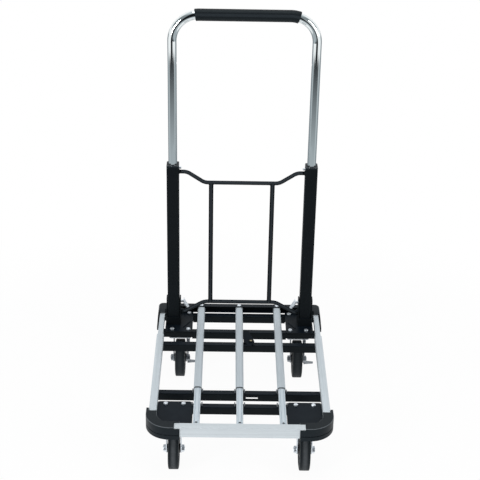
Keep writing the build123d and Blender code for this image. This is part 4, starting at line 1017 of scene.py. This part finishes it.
post_low, post_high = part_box("back_posts")
post_radius = (post_high[1] - post_low[1]) / 2
post_x = post_high[0] - post_radius
post_y = middle_of("back_posts")[1]
post_foot, post_head = lower_route[2][2], top_route[2][2]
post_points = [(side * post_x, post_y, z) for side in (-1, 1) for z in (post_foot, post_head)]
posts = grown("back_posts_smooth", swept_tube, post_points, [(0, 1), (2, 3)], [0.0] * 4, Radius=post_radius,
              Sides=WIRE_SIDES, Start=0.0, End=WHOLE_LENGTH, Capped=True, Material=wire_paint)
settle(posts, "back_posts")
print("wire radius", wire_radius, "posts at", round(post_x, 4), round(post_foot, 4), round(post_head, 4))

# %% [markdown]
# ### Weld beads
# The posts and the top rod are welded, and a weld leaves a small uneven bead in the corner. A thin tube is
# swept around each joint line and pushed in and out by seeded noise, then it gets the same paint. A post
# meets a rod along a saddle, so the loop's height follows the rod's round side.

# %% Weld bead tree
WELD_SIDES = 8


def weld_tree():
    """A thin tube round closed lines, pushed in and out by noise."""
    tree = Tree("weld_bead", Radius="Float", Ripple="Float", Pitch="Float", Seed="Float", Material="Material")
    given = tree.given
    loop = tree.node("GeometryNodeMeshToCurve", inputs={0: given["Geometry"]})
    circle = tree.node("GeometryNodeCurvePrimitiveCircle", inputs={
        "Resolution": WELD_SIDES, "Radius": given["Radius"]})
    bead = tree.node("GeometryNodeCurveToMesh", inputs={"Curve": loop, "Profile Curve": circle})
    noise = tree.node("ShaderNodeTexNoise", {"noise_dimensions": "4D"}, {
        "W": given["Seed"], "Scale": 1.0 / given["Pitch"], "Detail": 1.0})
    push = tree.node("ShaderNodeVectorMath", {"operation": "SCALE"}, {
        0: tree.node("GeometryNodeInputNormal"), "Scale": (noise - 0.5) * given["Ripple"]})
    return tree.close(tree.node("GeometryNodeSetPosition", inputs={"Geometry": bead, "Offset": push}))


weld_bead = weld_tree()
print("made", weld_bead.tree.name)

# %% Weld beads
WELD_STEPS = 24
WELD_RADIUS = 0.0011
WELD_RIPPLE = 0.0009
WELD_PITCH = 0.0022
WELD_SEED = 4.0
turns = [2 * math.pi * step / WELD_STEPS for step in range(WELD_STEPS)]
weld_points = []
weld_edges = []


def add_loop(points):
    """Add a closed line to the welds."""
    first = len(weld_points)
    weld_points.extend(points)
    weld_edges.extend((first + a, first + b) for a, b in chain(points, closed=True))


def saddle(turn):
    """How far from a rod's middle a post leaves its round side, at an angle around the post."""
    return math.sqrt(max(0.0, wire_radius ** 2 - (post_radius * math.sin(turn)) ** 2))


for side in (-1, 1):
    for rod_z, away in ((post_foot, 1), (post_head, -1)):
        add_loop([(side * post_x + post_radius * math.cos(turn), post_y + post_radius * math.sin(turn),
                   rod_z + away * saddle(turn)) for turn in turns])
    end_x, end_y, end_z = top_route[-1]
    add_loop([(side * (end_x - WELD_RADIUS), end_y + wire_radius * math.cos(turn),
               end_z + wire_radius * math.sin(turn)) for turn in turns])
welds = grown("weld_beads", weld_bead, weld_points, weld_edges, Radius=WELD_RADIUS, Ripple=WELD_RIPPLE,
              Pitch=WELD_PITCH, Seed=WELD_SEED, Material=wire_paint)
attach(welds, body_of["back_posts"])
print("weld loops", len(weld_points) // WELD_STEPS)

# %% [markdown]
# ## Slats
# The deck is three pairs of crowned aluminium extrusions, the front ones sliding inside the rear ones. An
# extrusion is its section pulled to a length, so the tree pulls a closed outline along Y and sets the copies
# side by side. The outline is worked out from the crown and the shoulder radius, and the inner slat's is the
# same outline a little way in, with two shallow grooves in its top. Then the walls, the screw holes and the
# latch windows follow.

# %% Slat tree
def slat_tree():
    """A row of open shells, each a closed outline pulled along Y."""
    tree = Tree("slat_row", Length="Float", Pitch="Float", Count="Int", Material="Material")
    given = tree.given
    pulled = tree.node("GeometryNodeExtrudeMesh", {"mode": "EDGES"}, {
        "Mesh": given["Geometry"], "Offset": tree.vector(y=given["Length"]), "Offset Scale": 1.0})
    first = tree.vector(x=given["Pitch"] * (1.0 - given["Count"]) * 0.5)
    row = tree.node("GeometryNodeMeshLine", inputs={
        "Count": given["Count"], "Start Location": first, "Offset": tree.vector(x=given["Pitch"])})
    return tree.close(tree.node("GeometryNodeInstanceOnPoints", inputs={"Points": row, "Instance": pulled}))


slat_row = slat_tree()
print("made", slat_row.tree.name)

# %% Slats
SLAT_COUNT = 3
SLAT_WIDTH = 0.0195
SLAT_CROWN = 0.0012
SLAT_SHOULDER = 0.005
SLAT_WALL = 0.0014
SLAT_INSET = 0.0017
SLAT_ROOM = 0.00004
SHOULDER_STEPS = 10
GROOVE_X = 0.0040
GROOVE_HALF = 0.0008
GROOVE_DEPTH = 0.0013
SCREW_HOLE_RADIUS = 0.0030
SCREW_HOLE_DEPTH = 0.008
SCREW_HOLE_Y = -0.2625
WINDOW_X = (0.003, SLAT_WIDTH)
WINDOW_Y = (0.0864, 0.10215)
WINDOW_Z = (0.1414, 0.1471)


def slat_outline(floor, top, inset, groove):
    """The closed outline of a slat in X and Z: level floor, upright sides, round shoulders, crowned top."""
    half = SLAT_WIDTH / 2
    crown_radius = (half ** 2 + SLAT_CROWN ** 2) / (2 * SLAT_CROWN)
    crown_z = top - crown_radius
    shoulder_x = half - SLAT_SHOULDER
    lean = math.asin(shoulder_x / (crown_radius - SLAT_SHOULDER))
    shoulder_z = crown_z + (crown_radius - SLAT_SHOULDER) * math.cos(lean)
    right = [(half - inset, floor + inset)]
    for step in range(SHOULDER_STEPS + 1):
        angle = (math.pi / 2 - lean) * step / SHOULDER_STEPS
        radius = SLAT_SHOULDER - inset
        right.append((shoulder_x + radius * math.cos(angle), shoulder_z + radius * math.sin(angle)))
    crown = [(x, 0.0) for x in (GROOVE_X + GROOVE_HALF, GROOVE_X - GROOVE_HALF, GROOVE_X / 2)]
    crown.insert(1, (GROOVE_X, groove))
    for x, depth in crown:
        right.append((x, crown_z + math.sqrt((crown_radius - inset) ** 2 - x ** 2) - depth))
    left = [(-x, z) for x, z in reversed(right)]
    return right + [(0.0, top - inset)] + left


def slats(node, inset, groove, material, cutters):
    """A node's slats from an outline that lies so far inside the outer slats', with openings cut."""
    low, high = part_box(node)
    outer_low, outer_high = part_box("outer_slats")
    outline = slat_outline(outer_low[2], outer_high[2], inset, groove)
    pitch = (outer_high[0] - outer_low[0] - SLAT_WIDTH) / (SLAT_COUNT - 1)
    points = [(x, low[1], z) for x, z in outline]
    row = grown(node + "_drawn", slat_row, points, chain(points, closed=True), Length=high[1] - low[1],
                Pitch=pitch, Count=SLAT_COUNT, Material=material)
    walled(row, SLAT_WALL)
    cut_by(row, cutters)
    soften(row, FINE_EDGE)
    return settle(row, node), pitch


def latch_window(shift):
    """A cutter for the latch's window in the middle slat, so far to the front of its place."""
    low, high = zip(WINDOW_X, [y - shift for y in WINDOW_Y], WINDOW_Z)
    return block_cutter(low, high)


deck_travel = joint_of["deck_extension"]["range_m"][1]
outer_row, slat_pitch = slats("outer_slats", SLAT_ROOM, 0.0, outer_aluminium, [latch_window(0.0)])
slat_xs = (-slat_pitch, 0.0, slat_pitch)
inner_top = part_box("inner_slats")[1][2]
screw_holes = [pin_cutter((x, SCREW_HOLE_Y, inner_top), UPRIGHT, SCREW_HOLE_RADIUS, SCREW_HOLE_DEPTH)
               for x in slat_xs]
windows = [latch_window(0.0), latch_window(deck_travel)]
inner_row, _ = slats("inner_slats", SLAT_INSET, GROOVE_DEPTH, inner_aluminium, windows + screw_holes)
print("slat pitch", round(slat_pitch, 4), "faces", len(outer_row.data.polygons), len(inner_row.data.polygons))

# %% [markdown]
# ### Slide bushings
# Where a front slat leaves the rear one, a dark lining shows round it: the lip of a plastic bushing, longer
# at the sides than on top. It is the slat's outline again, pulled a short way, with its front cut slanting.

# %% Slide bushings
BUSHING_INSET = 0.0002
BUSHING_WALL = 0.00142
BUSHING_TOP = 0.0022
BUSHING_FOOT = 0.0085


def bushings():
    """The lips of the bushings, in front of the outer slats."""
    low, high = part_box("outer_slats")
    points = []
    for x, z in slat_outline(low[2], high[2], BUSHING_INSET, 0.0):
        rise = (z - low[2]) / (high[2] - low[2])
        points.append((x, low[1] - BUSHING_FOOT + (BUSHING_FOOT - BUSHING_TOP) * rise, z))
    row = grown("slide_bushings", slat_row, points, chain(points, closed=True), Length=2 * BUSHING_FOOT,
                Pitch=slat_pitch, Count=SLAT_COUNT, Material=black_plastic)
    for vertex in row.data.vertices:
        vertex.co.y = min(vertex.co.y, low[1] - MERGE_DISTANCE)
    walled(row, BUSHING_WALL)
    soften(row, FINE_EDGE)
    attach(row, body_of["outer_slats"])
    return row


bushing_row = bushings()
print("bushings", len(bushing_row.data.polygons))

# %% [markdown]
# ## Bolts and rivets
# Zinc-plated bolts hold the casters through the plates and channels, and three truss-head rivets hold the
# slats in the rear beam. One tree turns a fastener from a prism: its top is pulled up in steps and drawn
# in, which gives a chamfer or a dome, and a shank and a nut hang below. Nobody lines up bolt heads, so each
# is turned by a seeded random angle.

# %% Fastener tree
# Steps of a head from its seat up: each step's share of the height, and how wide its top is.
CHAMFER_STEPS = ((0.78, 1.0), (0.22, 0.86))
DOME_STEPS = ((0.34, 1.0), (0.30, 0.94), (0.22, 0.82), (0.14, 0.62))
HEX_SIDES = 6
SHANK_SIDES = 20
NUT_TIP = 0.001


def fastener_tree(name, steps):
    """A fastener at each point, seated there, with its head above and its shank and nut below."""
    tree = Tree(name, Sides="Int", Radius="Float", Height="Float", Shank="Float", Drop="Float", Nut="Float",
                Seed="Int", Material="Material")
    given = tree.given
    head = tree.node("GeometryNodeMeshCylinder", inputs={
        "Vertices": given["Sides"], "Radius": given["Radius"], "Depth": given["Height"] * steps[0][0]})
    top = head.also("Top")
    head = tree.moved(head, z=given["Height"] * (steps[0][0] / 2))
    for rise, width in steps[1:]:
        head = tree.node("GeometryNodeExtrudeMesh", {"mode": "FACES"}, {
            "Mesh": head, "Selection": top, "Offset Scale": given["Height"] * rise, "Individual": False})
        top = head.also("Top")
        head = tree.node("GeometryNodeScaleElements", inputs={
            "Geometry": head, "Selection": top, "Scale": width})
    shank = tree.node("GeometryNodeMeshCylinder", inputs={
        "Vertices": SHANK_SIDES, "Radius": given["Shank"], "Depth": given["Drop"]})
    shank = tree.moved(shank, z=given["Drop"] * -0.5)
    nut = tree.node("GeometryNodeMeshCylinder", inputs={
        "Vertices": HEX_SIDES, "Radius": given["Radius"], "Depth": given["Nut"]})
    nut = tree.moved(nut, z=NUT_TIP + given["Nut"] * 0.5 - given["Drop"])
    whole = tree.node("GeometryNodeJoinGeometry", inputs={0: [head, shank, nut]})
    turn = tree.node("FunctionNodeRandomValue", {"data_type": "FLOAT"}, {
        2: 0.0, 3: math.pi / 3, "Seed": given["Seed"]}, 1)
    placed = tree.node("GeometryNodeInstanceOnPoints", inputs={
        "Points": given["Geometry"], "Instance": whole, "Rotation": tree.vector(z=turn)})
    return tree.close(placed)


hex_bolt = fastener_tree("hex_bolt", CHAMFER_STEPS)
round_bolt = fastener_tree("round_bolt", DOME_STEPS)
print("made", hex_bolt.tree.name, round_bolt.tree.name)

# %% Bolts and rivets
BOLT_XS = (-0.177, -0.1345, 0.1345, 0.177)
BOLT_SHANK = 0.003
BOLT_ACROSS = 0.010
BOLT_HEIGHT = 0.004
LOW_HEIGHT = 0.0012
BOLT_EDGE = 0.00025
ROUND_SIDES = 32
FRONT_SEAT = 0.1405
REAR_SEAT = 0.1406
RIVET_NUT = 0.0002
RIVET_SEED = 9


def bolts(node, y, seat, tree, sides, radius, height, seed):
    """A row of bolts across the deck with their nuts under the caster plates."""
    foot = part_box(node)[0][2]
    name = node + "_" + tree.tree.name
    row = grown(name, tree, [(x, y, seat) for x in BOLT_XS], Sides=sides, Radius=radius, Height=height,
                Shank=BOLT_SHANK, Drop=seat - foot, Nut=BOLT_HEIGHT, Seed=seed, Material=zinc_steel)
    soften(row, BOLT_EDGE)
    return settle(row, node)


hex_head = (hex_bolt, HEX_SIDES, BOLT_ACROSS / math.sqrt(3), BOLT_HEIGHT)
low_head = (round_bolt, ROUND_SIDES, BOLT_ACROSS / 2, LOW_HEIGHT)
BOLT_ROWS = (
    ("front_caster_bolts", -0.2565, FRONT_SEAT, low_head),
    ("front_caster_bolts", -0.1720, FRONT_SEAT, hex_head),
    ("rear_caster_bolts", 0.1760, REAR_SEAT, hex_head),
    ("rear_caster_bolts", 0.2605, REAR_SEAT, hex_head),
)
for seed, (node, y, seat, head) in enumerate(BOLT_ROWS):
    bolts(node, y, seat, *head, seed)

rivet_low, rivet_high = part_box("rear_beam_rivets")
rivet_radius = (rivet_high[0] - rivet_low[0]) / 2 - slat_pitch
beam_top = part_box("rear_beam")[1][2]
rivet_y = middle_of("rear_beam_rivets")[1]
rivet_points = [(x, rivet_y, beam_top) for x in slat_xs]
rivets = grown("rear_beam_rivets_domed", round_bolt, rivet_points, Sides=ROUND_SIDES, Radius=rivet_radius,
               Height=rivet_high[2] - beam_top, Shank=BOLT_SHANK, Drop=beam_top - rivet_low[2],
               Nut=RIVET_NUT, Seed=RIVET_SEED, Material=zinc_steel)
soften(rivets, BOLT_EDGE)
settle(rivets, "rear_beam_rivets")
print("bolt rows", len(BOLT_ROWS), "rivet radius", round(rivet_radius, 4))

# %% [markdown]
# ## Wheels
# A wheel is a moulded hub with a rubber tyre shrunk onto it. Both are turned shapes, so a half section is
# spun about the axle in fine steps and its corners are rounded. The tyre's flanks lean in to a flat tread,
# and the hub is dished with a boss in the middle.

# %% Wheels
WHEELS = ("front_left", "front_right", "rear_left", "rear_right")
SPIN_STEPS = 96
SPIN_MERGE = 1e-6
# Half sections as points of sideways reach and radius.
TYRE_SECTION = ((0.0115, 0.0370), (0.0130, 0.0385), (0.0130, 0.0430), (0.0122, 0.0480), (0.0110, 0.04999))
HUB_SECTION = ((0.0155, 0.00506), (0.0155, 0.0100), (0.0085, 0.0200), (0.0085, 0.0320), (0.0110, 0.0345),
               (0.0110, 0.0370))
TREAD_DUST = {"front": 0.42, "rear": 0.10}
TYRE_ROUND = 0.0011
HUB_ROUND = 0.0006
TURNED_SHARP = 14.0


def turned(name, section, axle, material, edge):
    """Spin a section, given as (sideways, radius) for one half, about a wheel's axle."""
    profile = list(section) + [(-sideways, radius) for sideways, radius in reversed(section)]
    shape = bmesh.new()
    ring = [shape.verts.new((axle[0] + sideways, axle[1], axle[2] + radius)) for sideways, radius in profile]
    lines = [shape.edges.new((ring[index - 1], ring[index])) for index in range(len(ring))]
    bmesh.ops.spin(shape, geom=ring + lines, cent=axle, axis=(1.0, 0.0, 0.0), angle=2 * math.pi,
                   steps=SPIN_STEPS)
    bmesh.ops.remove_doubles(shape, verts=shape.verts, dist=SPIN_MERGE)
    bmesh.ops.recalc_face_normals(shape, faces=shape.faces)
    piece = shaped(name, shape, material)
    soften(piece, edge, sharp=TURNED_SHARP, steps=3)
    return piece


for wheel in WHEELS:
    low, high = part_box("tyre_" + wheel)
    axle = middle_of("tyre_" + wheel)
    tread = (high[2] - low[2]) / 2
    rubber = tyre_rubber("tyre_rubber_" + wheel, axle, tread, TREAD_DUST[wheel.split("_")[0]])
    settle(turned("tyre_" + wheel + "_turned", TYRE_SECTION, axle, rubber, TYRE_ROUND), "tyre_" + wheel)
    settle(turned("hub_" + wheel + "_turned", HUB_SECTION, axle, hub_plastic, HUB_ROUND), "hub_" + wheel)
    print("wheel", wheel, [round(value, 4) for value in axle])

# %% [markdown]
# ## Size
# The finished look must not grow past the solids. The scene is brought up to date here.

# %% Bring the scene up to date
bpy.context.view_layer.update()
